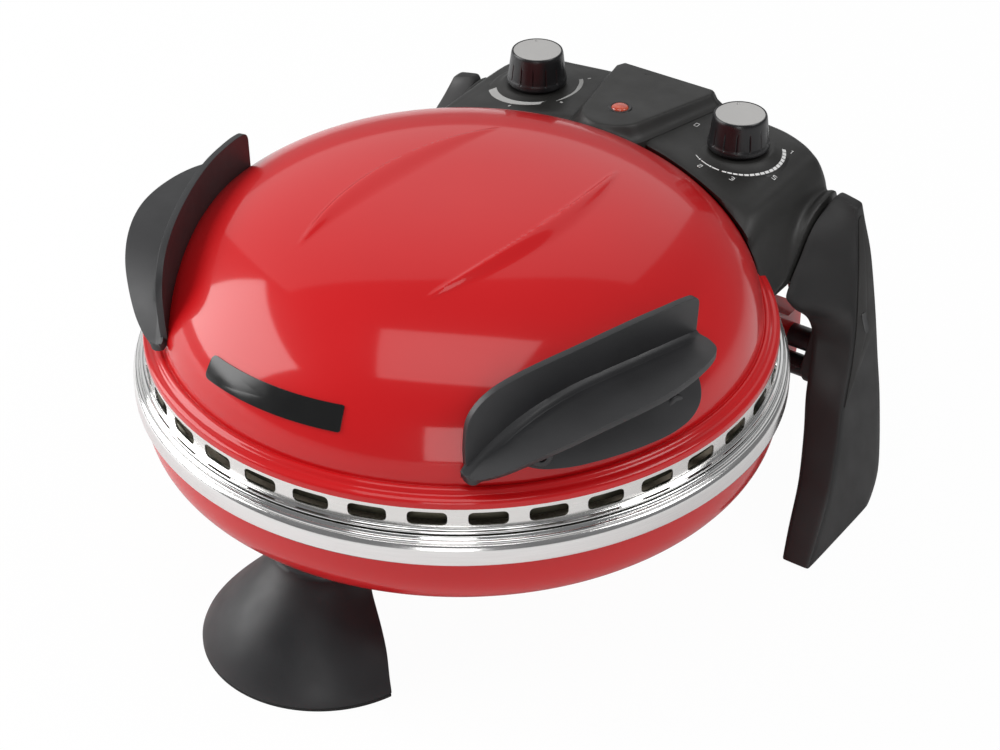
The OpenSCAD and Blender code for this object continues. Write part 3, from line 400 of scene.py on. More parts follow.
RED = enamel()
BAND = brushed("band_steel", (0.80, 0.79, 0.78), 0.17, (1, 1, 40), 50, 0.004)
SLOT_STEEL = brushed("slot_steel", (0.78, 0.77, 0.75), 0.24, (1, 1, 40), 50, 0.004)
BEAD = brushed("bead_steel", (0.82, 0.82, 0.81), 0.07, (1, 1, 30), 40, 0.001)
LINER = worn("chamber_liner", (0.125, 0.118, 0.082), 0.38, 0.55, 60)
DISH = worn("dish_steel", (0.62, 0.62, 0.60), 0.28, 1.0, 50, 0.88, 1.08)
HEATER = worn("heater_tube", (0.075, 0.066, 0.058), 0.62, 0.4, 150)
CLAY = fired_clay()
BLACK = moulded("console_black", (0.0140, 0.0136, 0.0125), 0.46)
HANDLE = moulded("handle_black", (0.0240, 0.0240, 0.0255), 0.44, 0.04)
LEG = moulded("leg_black", (0.0120, 0.0115, 0.0115), 0.48)
# The leg panel is the leg's black moulding made lighter: painted light for the light falling on the leg's outer
# face
PAINTED_LIGHT_PANEL = moulded("panel_black_painted_light", (0.019, 0.018, 0.017), 0.60)
FOOT = moulded("foot_black", (0.0120, 0.0120, 0.0135), 0.46)
KNOB = moulded("knob_black", (0.008, 0.008, 0.009), 0.30, 0.02)
SLEEVE = moulded("sleeve_black", (0.010, 0.010, 0.011), 0.28, 0.02)
RUBBER = moulded("pad_rubber", (0.014, 0.014, 0.014), 0.82, 0.08)
BADGE = moulded("badge_black", (0.008, 0.008, 0.008), 0.16, 0.01)
PRINT = moulded("print_white", (0.80, 0.80, 0.79), 0.55, 0.01)
GREY_PRINT = moulded("print_grey", (0.40, 0.40, 0.39), 0.55, 0.01)
ZINC = worn("zinc_plate", (0.66, 0.66, 0.64), 0.34, 1.0, 200)
YELLOW_ZINC = worn("yellow_zinc", (0.74, 0.66, 0.46), 0.30, 1.0, 200)
BRASS = worn("bell_brass", (0.78, 0.58, 0.28), 0.25, 1.0, 150)
LAMP = lens_red()

# Finish of each CAD node that stays visible
CARRIED = {
    LINER: ("lid_reflector",), DISH: ("lower_reflector",), HEATER: ("lower_heater", "upper_heater"),
    CLAY: ("stone",),
    ZINC: ("lower_heater_clips", "upper_heater_clips", "foot_screws", "leg_screws", "console_screws",
           "handle_screws", "thermostat_body", "timer_body"),
    RUBBER: ("leg_pads",), RED: ("base_bracket", "lid_bracket"), SLEEVE: ("leg_sleeves",),
    YELLOW_ZINC: ("leg_bolts", "hinge_pins", "thermostat_shaft", "timer_shaft"),
    BLACK: ("terminal_box", "console_base", "lamp_holder"), BRASS: ("timer_bell",),
}
for material, names in CARRIED.items():
    for name in names:
        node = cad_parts[name]
        if not node.material_slots:
            node.data.materials.append(material)
        for s in node.material_slots:
            s.material = material


# ---------- round shells and rings ----------

def bowl_line(grow, count):
    """Superellipse from the band down to the middle of the bowl: (r / R)^n + (depth / D)^n = 1."""
    t = np.linspace(0, np.pi / 2, 400)
    p = np.stack([(BOWL_R + grow) * np.cos(t)**(2 / BOWL_N),
                  BAND_Z - (BOWL_D + grow) * np.sin(t)**(2 / BOWL_N)], 1)
    return even(p, count)


def dome_line(grow, count, start=3.6):
    """Curve from the dome's foot to its top: (r / R)^n + (rise / H)^m = 1."""
    t = np.linspace(0, np.pi / 2, 600)
    p = np.stack([(DOME_R + grow) * np.cos(t)**(2 / DOME_N),
                  DOME_Z + (DOME_H + grow) * np.sin(t)**(2 / DOME_M)], 1)
    return even(p[p[:, 1] > DOME_Z + start + grow], count)


def dome_radius(z, grow=0.0):
    """Radius of the dome's outside at a height."""
    rise = np.clip((z - DOME_Z) / (DOME_H + grow), 0, 1)
    return (DOME_R + grow) * (1 - rise**DOME_M)**(1 / DOME_N)


def bowl_height(r):
    """Height of the bowl's outside at a distance from the axis."""
    return BAND_Z - BOWL_D * (1 - (np.minimum(r, BOWL_R - 0.01) / BOWL_R)**BOWL_N)**(1 / BOWL_N)


# Each crescent rib: turn about the axis in degrees, its chord's x, the bows of its crest and of its
# slope's foot, and where it starts and ends along y
RIBS = ((-6.3, -28.0, -11.8, 3.2, -84.0, 59.0), (-4.0, 45.0, 9.7, 19.5, -79.0, 68.0))
RIB_H, RIB_STEEP = 2.3, 2.6


def rib_height(x, y):
    """Height of the crescent ribs. With t from -1 to 1 along the chord, the crest and the foot of the slope
    bow as 1 - t^2. The height falls from the crest as a smooth step: quickly on the -X side, across the whole
    crescent on the +X side, and towards both ends with the square root of 1 - t^2."""
    total = np.zeros_like(x)
    for turn, chord, crest_bow, slope_bow, y0, y1 in RIBS:
        c, sn = polar(turn)
        along, across = y * c - x * sn, x * c + y * sn
        t = (2 * along - y0 - y1) / (y1 - y0)
        bulge = np.clip(1 - t * t, 0, 1)
        crest, slope = chord + crest_bow * bulge, chord + slope_bow * bulge + 0.6
        beyond = (across - crest) / np.where(across > crest, slope - crest, -RIB_STEEP * (0.35 + 0.65 * bulge))
        total += RIB_H * bulge**0.6 * (1 - ease(beyond)) * (np.abs(t) < 1)
    return total


def lid_dome():
    """Pressed dome with a rolled flange, a bead above it and two crescent ribs on its flat top."""
    outer = dome_line(0, 150)
    flange = rounded([(FLANGE_R - SHEET, FLANGE_Z), (FLANGE_R, FLANGE_Z), (FLANGE_R, 126.9), (158.6, 128.1),
                      (156.2, 128.7), (154.9, 130.6), (153.2, 131.2), (152.2, 130.5), tuple(outer[0])],
                     [0.1, 0.1, 1.5, 1.2, 1.0, 0.8, 0.8, 0.5, 0.1], 6, closed=False)
    inner = dome_line(-SHEET, 44, 2.2)[::-1]
    under = np.array([(151.5, 128.6), (157.8, 126.9), (159.1, 126.0)])
    profile = np.vstack([flange, outer[1:], inner, under])
    last = len(flange) + len(outer) - 1

    def ribs(angle, r, z):
        lift = rib_height(r * np.cos(angle), r * np.sin(angle))
        return r, z + lift * (np.arange(len(profile)) < last)[None, :]
    return piece("lid_dome", [revolve(profile, 400, ripple=ribs)], "lid", RED, ["upper_shell"], "red_enamel")


def bowl():
    """Deep-drawn bowl: outside curve, rolled top edge and inside curve."""
    outer, inner = bowl_line(0, 90), bowl_line(-SHEET, 60)[::-1]
    profile = np.vstack([[(BOWL_R, BAND_TOP - 1)], outer, inner, [(BOWL_R - SHEET, BAND_TOP - 1)]])
    return piece("bowl", [revolve(profile, 360)], "base", RED, ["lower_shell"], "red_enamel")


def ring(name, corners, radius, body, material, node, slot):
    """A ring with a cross-section of rounded corners."""
    return piece(name, [revolve(rounded(corners, radius, 6), 400)], body, material, [node], slot, sharp=60)


def steel_rings():
    """Plain band round the bowl and the rolled rims of the bowl and the lid."""
    ring("wide_band", [(BOWL_R + 0.02, BAND_Z), (BAND_R - 0.9, BAND_Z), (BAND_R, BAND_Z + 1.2),
                       (BAND_R, BAND_TOP - 2.2), (BAND_R - 1.6, BAND_TOP), (BOWL_R + 0.02, BAND_TOP),
                       (BOWL_R + 0.02, BAND_TOP - 1),
                       (BAND_R - 2, BAND_TOP - 1), (BAND_R - 1, BAND_TOP - 2.4), (BAND_R - 1, BAND_Z + 1.6),
                       (BAND_R - 1.6, BAND_Z + 1), (BOWL_R + 0.02, BAND_Z + 1)],
         [0.1, 0.9, 0.9, 1.2, 1.2, 0.1, 0.1, 0.6, 0.6, 0.5, 0.5, 0.1], "base", BAND, "base_band", "band_steel")
    ring("base_beads", [(160.0, BAND_TOP), (164.6, BAND_TOP), (165.6, 107.8), (165.4, 108.8), (164.2, 109.2),
                        (163.6, 109.0), (163.3, 109.8), (162.8, 110.3), (160.0, 110.3)],
         [0.1, 0.4, 0.7, 0.7, 0.5, 0.3, 0.4, 0.5, 0.1], "base", BEAD, "base_rim", "rim_steel")
    ring("lid_bead", [(156.7, LID_Z), (162.4, LID_Z), (163.1, 111.8), (162.8, 112.6), (161.6, 112.6),
                      (161.1, 112.9), (160.8, 113.3), (159.0, 113.3), (156.7, 112.6)],
         [0.1, 0.6, 0.7, 0.6, 0.4, 0.3, 0.2, 0.1, 0.1], "lid", BEAD, "lid_rim", "rim_steel")


def slotted_band():
    """Steel band with vent slots. Each cell is the space between a slot and its share of the band: points run
    from the slot's rounded rectangle to the cell's border along the same bearing."""
    cells, slot_l, slot_h, corner, middle = 36, 18.5, 7.2, 2.4, 118.1
    width = 2 * np.pi * (FLANGE_R - 0.2) / cells
    low, high = SLOT_Z - middle, FLANGE_Z - middle
    a, b = slot_l / 2, slot_h / 2
    slot = closed_line([(a, -b), (a, b), (-a, b), (-a, -b)], corner * 1.2, 8, 72)
    bearing = np.arctan2(slot[:, 1], slot[:, 0])
    tops = np.arctan2([low, high, high, low], [width / 2, width / 2, -width / 2, -width / 2])
    for corner_bearing in tops:
        bearing[np.argmin(np.abs(bearing - corner_bearing))] = corner_bearing
    c, s = np.cos(bearing), np.sin(bearing)
    reach = np.minimum(width / 2 / np.maximum(np.abs(c), 1e-9),
                       np.where(s > 0, high, -low) / np.maximum(np.abs(s), 1e-9))
    border = np.stack([reach * c, reach * s], 1)
    sheet = disc_grid(border, slot, [0, 0.12, 0.5, 1.0])
    parts = []
    radius = FLANGE_R - 0.2
    for n in range(cells):
        angle = -np.pi / 2 + 2 * np.pi * n / cells + sheet[..., 0] / radius
        parts.append(loops(xyz(radius * np.cos(angle), radius * np.sin(angle), middle + sheet[..., 1])))
    obj = piece("slotted_band", parts, "lid", SLOT_STEEL, ["slotted_band"], "band_steel", merge=3e-5)
    outward_from_axis(obj)
    finish_sheet(obj, thickness=1.0)


def outward_from_axis(obj):
    """Turns an open sheet's faces away from the body's axis."""
    bm = bmesh.new()
    bm.from_mesh(obj.data)
    bmesh.ops.recalc_face_normals(bm, faces=bm.faces)
    axis = Vector((0, AXIS_Y * MM))
    if sum((f.normal.xy.dot(f.calc_center_median().xy - axis) for f in bm.faces)) < 0:
        bmesh.ops.reverse_faces(bm, faces=bm.faces)
    bm.to_mesh(obj.data)
    bm.free()


# ---------- handles ----------

FIN_BACK = -3.0
WING_EDGE = [(135.5, -2.2), (144, -3.6), (153, -9), (156, -20), (157, -34), (156, -50), (153, -64), (148, -77),
             (141, -90), (132, -102), (121, -112), (110, -120), (99, -125), (89.5, -126)]


def fin_x(y):
    """How far out the fin stands at y: 133 - 0.17 s - 0.0017 s^2 with s counted forwards from its back."""
    s = FIN_BACK - y
    return 133 - 0.17 * s - 0.0017 * s * s


def wing_height(y):
    """Top of the wing: a power curve that dives towards the front tip, and a slight fall to the rear."""
    front = 170 - 30 * (np.clip(-45 - y, 0, None) / 79)**3.2
    return np.where(y < -45, front, 170 - 3 * ((y + 45) / 42)**2)


def handle_fin():
    """Upright guard wall: an outline of distance along the fin and height, bent along the fin's plan curve."""
    outline = closed_line([(-3, 141), (-2.4, 187.4), (-14, 189.4), (-40, 191), (-62, 190), (-88, 187),
                           (-100, 184.6), (-110, 181.5), (-118, 176), (-123.5, 167), (-124, 150),
                           (-123, 139.5), (-100, 147), (-60, 158)],
                          [2, 5, 5, 9, 9, 9, 8, 7, 7, 7, 6, 2, 6, 6], 7, 220)
    sheet = disc_grid(outline, (-62, 172), [1, 0.985, 0.93, 0.8, 0.6, 0.35, 0.0])
    y, z = sheet[..., 0], sheet[..., 1]
    lean = 0.04 * (z - 165)
    return loops(xyz(fin_x(y) + 4 + lean, y, z))


def handle_wing():
    """Finger rest: the plan between the fin and the outer edge, laid on the wing's height curve and swept up a
    little where it joins the fin."""
    inner = [(fin_x(y) + 1.6, y) for y in np.linspace(-124.5, -3, 12)]
    outline = closed_line(WING_EDGE + inner, [1, 3, 6, 8, 9, 9, 9, 9, 9, 9, 9, 6, 4, 1] + [2] * 12, 5, 260)
    spine_y = np.clip(outline[:, 1], -112, -14)
    spine = np.stack([fin_x(spine_y) + 9, spine_y], 1)
    sheet = disc_grid(outline, spine, [1, 0.985, 0.93, 0.82, 0.66, 0.5, 0.34, 0.16, 0.0])
    x, y = sheet[..., 0], sheet[..., 1]
    away = np.clip((x - fin_x(y) - 4) / 2.5, 0, 1)
    sweep = 1.6 * (1 - away)**2
    return loops(xyz(x, y, wing_height(np.maximum(y, -125)) + sweep))


def handle_guard():
    """Plate between the fingers and the dome: an outline of y and height wrapped round the dome."""
    outline = closed_line([(-20, 166), (-18, 156), (-22, 146), (-31, 140.4), (-44, 138.5), (-92, 138.5),
                           (-104, 140), (-111, 145), (-110, 151), (-96, 161), (-70, 166), (-45, 167)],
                          5, 6, 160)
    sheet = disc_grid(outline, (-62, 152), [1, 0.97, 0.85, 0.65, 0.4, 0.0])
    y, z = sheet[..., 0], sheet[..., 1]
    r = dome_radius(z) + 6.2
    return loops(xyz(np.sqrt(r * r - y * y), y, z))


def radial_boss(angle, height, reach, r, hole, length):
    """Screw boss: a short tube whose axis points out from the body's axis at an angle."""
    profile = rounded([(hole, 0), (r, 0), (r, length), (hole, length), (hole, length * 0.35)],
                      [0.1, 0.4, 1.2, 0.5, 0.1], 4)
    points, faces = revolve(profile, 40)
    turn = Matrix.Rotation(math.radians(angle), 3, "Z") @ Matrix.Rotation(math.radians(90), 3, "Y")
    points = points.reshape(-1, 3) @ np.array(turn).T
    return points + (*(reach * polar(angle)), height), faces


def handles():
    """Right handle's fin, wing, guard and screw bosses, and the same on the left."""
    right = []
    for name, surface, wall, edge, out in (("fin", handle_fin(), 3.4, 0.9, (1, 0, 0)),
                                           ("wing", handle_wing(), 3.6, 1.0, (0, 0, 1)),
                                           ("guard", handle_guard(), 3.6, 1.2, (1, 0, 0))):
        obj = piece("right_handle_" + name, [surface], "lid", HANDLE, slot="handle_moulding")
        face_along(obj, Vector(out))
        right.append(finish_sheet(obj, wall, edge))
    reach = float(dome_radius(147.0)) + 0.3
    bosses = [radial_boss(-41, 146.5, reach, 5.4, 2.3, 8.2), radial_boss(-14, 149.0, reach, 5.4, 2.3, 4.0)]
    right.append(piece("right_handle_bosses", bosses, "lid", HANDLE, slot="handle_moulding"))
    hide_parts("right_handle")
    mirrored(right[0], "left_handle")
    for obj in right[1:]:
        mirrored(obj)


# ---------- console ----------

def console_sections(x):
    """Side section of the console at each x: rows of (y, z). It hugs the lid up to the brow, crowns over to
    the deck, falls down the back and returns along the floor. Towards the cheeks it blends into the cheek's
    outline."""
    a = np.abs(x)[:, None]
    gap = 0.9
    deck = curve(a, [0, 38, 50, 64, 76, 84, 93, 101, 104.5, 107.5, 109, 114],
                 [171, 169.8, 168.6, 167.6, 167.2, 165.8, 163, 159, 154, 149, 148.4, 149])
    deck_back = curve(a, [0, 76, 93, 101, 114], [197, 196, 192, 188, 182])
    back = curve(a, [0, 76, 93, 104, 114], [207, 207, 202, 194, 187])
    top = curve(a, [0, 45, 64, 80, 93, 101, 107, 114], [168, 167.6, 165, 162.2, 158, 152.5, 143, 134])
    brow_y = curve(a, [0, 64, 80, 93, 101, 107, 114], [141, 124, 119, 117, 117, 118, 121])
    brow_z = curve(a, [0, 38, 50, 64, 80, 93, 101, 107, 114],
                   [170.4, 169.2, 167.6, 165.7, 163.5, 160.6, 156.2, 145.5, 134.5])
    crown_y = curve(a, [0, 64, 93, 101, 107, 114], [152, 142, 145, 149, 151, 152])
    crown_z = curve(a, [0, 38, 50, 64, 80, 93, 101, 107, 114],
                    [171, 169.6, 168.0, 166.3, 164.5, 161.8, 158.2, 148.8, 146])
    steps = np.linspace(0, 1, 5)[None, :]
    low = FLANGE_Z + 8.5
    hug_z = low + (top - low) * steps
    hug_y = np.sqrt(np.maximum(1, dome_radius(hug_z, gap)**2 - a * a))
    lip = np.sqrt((FLANGE_R + gap)**2 - a * a)

    def row(*values):
        """One coordinate of the section's points, each a number or a column with one value per x."""
        return np.hstack([v * np.ones_like(a) for v in values])
    hug = np.stack([
        row(lip, lip, lip, hug_y, brow_y, brow_y + 3, crown_y, (crown_y + deck_back) / 2 - 2, deck_back - 7,
            deck_back - 1, deck_back + 1.2, (deck_back + back) / 2 + 0.5, back, back, back - 2.5, 190, 177,
            175.4, 173.4, 172.6, 165),
        row(113.9, 121, 129.2, hug_z, brow_z, brow_z + 0.9, crown_z, deck, deck, deck - 1.2, deck - 6,
            deck - 26, 112, 101, 98, 98, 98, 98.6, 106, 113.9, 113.9)], -1)
    cheek = np.array([(114.4, 113.9), (114.6, 114.5), (115.2, 114.9), (116.4, 115.2), (118.2, 115.5),
                      (120.4, 115.9), (123, 116.3), (125.6, 116.8), (128.4, 117.6), (131, 119.6),
                      (144.6, 136.8), (157.6, 148.6), (175, 150.2), (181, 149.3), (184.6, 146.8),
                      (186.4, 130), (187, 112), (187, 101), (184.5, 98), (182, 98), (177, 98),
                      (175.4, 98.6), (173.4, 106), (172.6, 113.9), (160, 113.9)])
    w = ease((a - 104.5) / (CHEEK_X - 104.5))[..., None]
    section = (1 - w) * hug + w * cheek[None]
    # the strip along the cheek stands proud of the side as a collar
    valley = ease((a - 104) / 3) * (1 - ease((a - 108.5) / 2.5))
    inward = np.array((172.0, 128.0)) - section
    inward /= np.linalg.norm(inward, axis=-1)[..., None]
    mask = np.zeros(section.shape[1])
    mask[4:15] = 1
    return section + inward * (0.55 * valley[..., None] * mask[None, :, None])


def console():
    """Body of the console: its side sections carried from cheek to cheek and closed at the cheeks."""
    half = np.concatenate([np.linspace(0, 88, 23), np.linspace(90, 102, 9), np.linspace(103, 112, 13),
                           [113, 113.6, 113.85]])
    x = np.concatenate([-half[:0:-1], half])
    section = console_sections(x)
    inset = np.where(np.abs(x) > 113.5, 0.8, np.where(np.abs(x) > 113, 0.25, 0))[:, None, None]
    middle = np.array((160.0, 122.0))
    section = section + (middle - section) / np.linalg.norm(middle - section, axis=-1)[..., None] * inset
    points = xyz(x[:, None], section[..., 0], section[..., 1])
    caps = []
    for end, sign in ((0, -1), (-1, 1)):
        rim = points[end]
        centre = np.array((sign * CHEEK_X * 0.9995, 162.0, 125.0))
        rings = np.stack([rim, rim + (centre - rim) * 0.08, rim + (centre - rim) * 0.5,
                          np.broadcast_to(centre, rim.shape)])
        rings[1:, :, 0] = sign * (CHEEK_X - 0.05)
        caps.append(loops(rings))
    obj = piece("console", [loops(points)] + caps, "lid", BLACK, ["console_shell"], "black_moulding",
                merge=1e-5)
    return finish_sheet(obj, smooth=1, sharp=50)


NOSE_FRONT, NOSE_TOP, NOSE_FALL = 123.0, 180.0, math.tan(math.radians(2.4))


def nose_top(y):
    """Height of the nose's flat top, which falls a little to the back."""
    return NOSE_TOP - (y - NOSE_FRONT) * NOSE_FALL


def deck_height(x, y):
    """Top of the console at points: each point's height on the straight runs of the side section at its x."""
    shape = np.shape(x)
    rows = console_sections(np.ravel(x))[:, 7:16]
    y = np.ravel(y)[:, None]
    y0, y1, z0, z1 = rows[:, :-1, 0], rows[:, 1:, 0], rows[:, :-1, 1], rows[:, 1:, 1]
    t = (y - y0) / np.where(np.abs(y1 - y0) < 1e-6, 1e-6, y1 - y0)
    inside = (t >= 0) & (t <= 1)
    z = np.where(inside, z0 + (z1 - z0) * np.clip(t, 0, 1), -1e3).max(1)
    return np.where(z < 0, np.where(y[:, 0] < rows[:, 0, 0], rows[:, 0, 1], rows[:, -1, 1]), z).reshape(shape)


def dome_height(r):
    """Height of the dome's outside at a distance from the axis."""
    return DOME_Z + DOME_H * (1 - (np.minimum(r, DOME_R - 0.01) / DOME_R)**DOME_N)**(1 / DOME_M)


def nose_outline(grow, count=200):
    """Plan of the nose: a round front and straight sides that spread towards the back."""
    t = np.linspace(-np.pi / 2 - 1.25, -np.pi / 2 + 1.25, 40)
    front = np.stack([(18 + grow) * np.cos(t), NOSE_FRONT + 18 + (18 + grow) * np.sin(t)], 1)
    back = [(30.2 + grow, 190 + grow * 0.3), (28.5 + grow, 195 + grow * 0.3), (-28.5 - grow, 195 + grow * 0.3),
            (-30.2 - grow, 190 + grow * 0.3)]
    line = np.vstack([front, back])
    return even(line, count, closed=True)


def nose():
    """Raised housing for the lamp. Its flat top falls to the back. Past the top's edge the height falls from
    the top to the surface underneath, deck or dome, by a share that drops steeply first and then flares out."""
    grows = np.array([-17.2, -12, -7, -3, -1.2, -0.5, 0.0, 0.4, 0.9, 1.5, 2.2, 3.0, 4.0, 5.2, 6.4, 7.2])
    share = np.array([1, 1, 1, 1, 1, 0.985, 0.955, 0.90, 0.80, 0.66, 0.50, 0.34, 0.20, 0.10, 0.04, -0.12])
    lines = np.stack([nose_outline(g) for g in grows])
    x, y = lines[..., 0], lines[..., 1]
    top = nose_top(y)
    floor_z = np.maximum(deck_height(x, np.maximum(y, 142.0)),
                         np.where(y < 150, dome_height(np.hypot(x, y)) - 1.6, 0))
    z = floor_z + (top - floor_z) * share[:, None]
    z[-1] -= 2.5
    spine = np.clip(y[:1], 145, 180)
    points = np.concatenate([xyz(0, spine, nose_top(spine)), xyz(x, y, z), xyz(0 * x[:1], 160, 158)])
    return piece("console_nose", [loops(points)], "lid", BLACK, slot="black_moulding", sharp=50)


CONE_R = np.array([0.0, 10, 16, 17.6, 18.2, 18.6, 19.1, 19.8, 20.7, 21.8, 23.2, 25.0, 27.0, 28.2])
CONE_SHARE = np.array([1, 1, 1, 1, 0.985, 0.94, 0.84, 0.68, 0.50, 0.33, 0.18, 0.08, 0.02, -0.1])


def cone_height(x, y):
    """Top of the console with the cones under the dials: past a cone's flat top the height falls to the deck
    by a share that drops steeply first and then flares out."""
    deck = deck_height(x, y)
    share = np.interp(np.hypot(np.abs(x) - DIAL_X, y - DIAL_Y), CONE_R, np.maximum(CONE_SHARE, 0))
    return deck + (KNOB_Z - 0.8 - deck) * share


def pedestal(side):
    """Cone under a dial: rings about the dial's axis, lifted to the cone's height."""
    middle = np.array((DIAL_X * (1 if side == "right" else -1), DIAL_Y))
    angle = np.linspace(0, 2 * np.pi, 160, endpoint=False)
    x = middle[0] + CONE_R[:, None] * np.cos(angle)
    y = middle[1] + CONE_R[:, None] * np.sin(angle)
    z = cone_height(x, y)
    z[-1] -= 3
    points = np.concatenate([xyz(x, y, z), xyz(0 * x[:1] + middle[0], middle[1], 157)])
    return piece("pedestal_" + side, [loops(points)], "lid", BLACK, slot="black_moulding", sharp=50)


def print_on_deck(name, strips, material):
    """Printed marks: flat strips of plan points laid a hair above the deck."""
    parts = []
    for plan in strips:
        x, y = plan[..., 0], plan[..., 1]
        parts.append((xyz(x, y, cone_height(x, y) + 0.12), quads(*plan.shape[:2])))
    obj = piece(name, parts, "lid", material, outward=False, merge=1e-7)
    face_along(obj, Vector((0, 0, 1)))
    return finish_sheet(obj, 0.1)


def arc_strip(centre, radius, width, start, end, end_width=None, steps=24):
    """Strip along an arc; its width may change from start to end. Angles in degrees."""
    a = np.radians(np.linspace(start, end, steps))[:, None]
    w = np.linspace(width, width if end_width is None else end_width, steps)[:, None]
    r = radius + np.array([[-0.5, 0.5]]) * w
    return np.stack([centre[0] + r * np.cos(a), centre[1] + r * np.sin(a)], -1)


# Strokes of plain digits in a box 2 wide and 3 high, each as a run of points
DIGITS = {"0": [[(0, 0), (2, 0), (2, 3), (0, 3), (0, 0)]], "1": [[(0.4, 2.4), (1.2, 3), (1.2, 0)]],
          "2": [[(0, 3), (2, 3), (2, 1.6), (0, 1.4), (0, 0), (2, 0)]],
          "3": [[(0, 3), (2, 3), (2, 0), (0, 0)], [(0.6, 1.5), (2, 1.5)]],
          "5": [[(2, 3), (0, 3), (0, 1.7), (2, 1.5), (2, 0), (0, 0)]]}


def digit(text, middle, size, turn=0.0):
    """Strips for a short number at a plan point, its strokes drawn as thin bars."""
    strips = []
    c, sn = polar(turn)
    for k, letter in enumerate(text):
        for run in DIGITS[letter]:
            line = (np.array(run) - (1, 1.5) + ((k - (len(text) - 1) / 2) * 2.8, 0)) * size / 3
            line = line @ np.array([[c, sn], [-sn, c]]) + middle
            for a, b in zip(line[:-1], line[1:]):
                d = (b - a) / np.linalg.norm(b - a)
                n = np.array((-d[1], d[0])) * 0.16
                a, b = a - d * 0.14, b + d * 0.14
                strips.append(np.stack([[a - n, b - n], [a + n, b + n]]))
    return strips


def scales():
    """Printed scales: a plain grey band by the left dial, a line that grows to a ticked band by the right."""
    left = np.array((-DIAL_X, DIAL_Y))
    strips = [arc_strip(left, 24.6, 4.3, -142, 40, 2.2, 80)]
    strips += [arc_strip(left, 29.2, 1.8, a, a + 2.5, steps=3) for a in (38, -30, -88, -142)]
    print_on_deck("left_scale", strips, GREY_PRINT)
    right = np.array((DIAL_X, DIAL_Y))
    marks = [(0.5, -152, -118, 16), (0.6, -112, -98, 8), (0.7, -94, -84, 8)]
    marks += [(0.9 + 0.07 * k, a, a + 5.6, 5) for k, a in enumerate(range(-80, 34, 7))]
    marks += [(1.1, a, a + 2.2, 3) for a in (-116.5, -97.3)]
    strips = [arc_strip(right, 24.4, width, start, end, steps=n) for width, start, end, n in marks]
    strips += digit("0", right + 29.6 * np.array((math.cos(2.95), math.sin(2.95))), 3.0)
    for text, a in (("2", -104), ("3", -66), ("5", -18), ("1", 36)):
        strips += digit(text, right + 28.6 * polar(a), 2.7)
    print_on_deck("right_scale", strips, PRINT)


def knob(side, body, node, cap_node):
    """Fluted knob: a skirt, a tapering fluted grip and a rolled top edge round a metal cap."""
    centre = (DIAL_X * (1 if side == "right" else -1), DIAL_Y)
    profile = rounded([(0.01, 0.2), (15.8, 0.2), (16.6, 1.0), (16.5, 3.4), (16.0, 4.4), (15.9, 5.6),
                       (14.4, 17.8), (13.9, 19.2), (13.25, 19.2), (13.2, 18.0), (0.01, 18.0)],
                      [0.1, 0.6, 0.6, 0.7, 0.6, 0.5, 0.8, 0.5, 0.2, 0.1, 0.1], 6, closed=False)
    profile = even(profile, 120)
    profile[:, 1] += KNOB_Z

    def flutes(angle, r, z):
        """14 narrow grooves, each as deep as a raised cosine of the angle, that fade out below the top edge."""
        phase = (angle * 14 / (2 * np.pi)) % 1 - 0.5
        groove = 0.5 * (1 + np.cos(np.pi * np.clip(phase / 0.07, -1, 1)))
        up = ease((z - KNOB_Z - 3.2) / 1.0) * (1 - ease((z - KNOB_Z - 11.5) / 3.5))
        return r - 0.5 * groove * up * (r > 13.4), z
    piece("knob_" + side, [revolve(profile, 384, centre, closed=False, ripple=flutes)], body, KNOB, [node],
          "knob_moulding")
    at = (centre[0] * MM, (centre[1] + AXIS_Y) * MM, 0)
    cap = np.array([(0.01, 1.05), (6, 1.1), (9.6, 1.15), (10.4, 1.15), (11.8, 1.18), (12.8, 1.2), (13.1, 1.1),
                    (13.15, 0.6), (13.15, 0.0), (0.01, 0.0)])
    cap[:, 1] += DIAL_TOP - 1.45

    def notch(angle, r, z):
        """A small dimple near the edge marks the dial's pointer."""
        d = np.hypot(r * np.cos(angle - 2.2) - 11.0, r * np.sin(angle - 2.2))
        return r, z - 0.7 * (1 - ease(d / 1.1)) * (z > DIAL_TOP - 0.6)
    rings = even(rounded(cap, 0.15, 3, closed=False), 80)
    piece("cap_" + side, [revolve(rings, 240, centre, closed=False, ripple=notch)], body,
          turned("cap_steel_" + side, (0.60, 0.59, 0.575), 0.30, at), [cap_node], "cap_steel")


def lamp():
    """Lens of the pilot lamp: a low dome over a short drum, in a dark collar ring."""
    z = nose_top(LAMP_Y)
    lens = rounded([(0.01, z - 6), (4.6, z - 6), (4.6, z + 0.5), (3.4, z + 1.3), (0.01, z + 1.7)],
                   [0.1, 0.1, 0.7, 1.0, 0.1], 6, closed=False)
    piece("lamp_lens", [revolve(lens, 96, (0, LAMP_Y), closed=False)], "lid", LAMP, ["lamp_lens"], "lamp_lens")
    collar = rounded([(4.7, z - 1), (6.6, z - 1), (6.6, z + 0.1), (5.9, z + 0.55), (4.7, z + 0.2)], 0.25, 4)
    piece("lamp_collar", [revolve(collar, 96, (0, LAMP_Y))], "lid", KNOB, slot="black_moulding")


# ---------- legs and foot ----------

LEG_FRONT = ([0, 14, 24, 36, 48, 60, 76, 88, 111, 124, 143, 152],
             [56, 75.5, 89.5, 101, 111, 119, 134, 143, 155, 161, 169, 173])
LEG_BACK = ([0, 3, 10, 24, 38, 53, 68, 83, 98, 124, 152],
            [121, 129, 140, 149, 155, 160.5, 164.5, 169, 173, 178.5, 181])
ARCH_LOW, ARCH_TOP = 84.0, 108.0


def leg_front(z):
    """Where the leg's front edge stands at a height."""
    return curve(z, *LEG_FRONT)


def leg_back(z):
    """Where the leg's back edge stands at a height."""
    return curve(z, *LEG_BACK)


def leg_outside(z):
    """The leg's outer face leans in as it rises."""
    return 177.5 - 0.31 * z


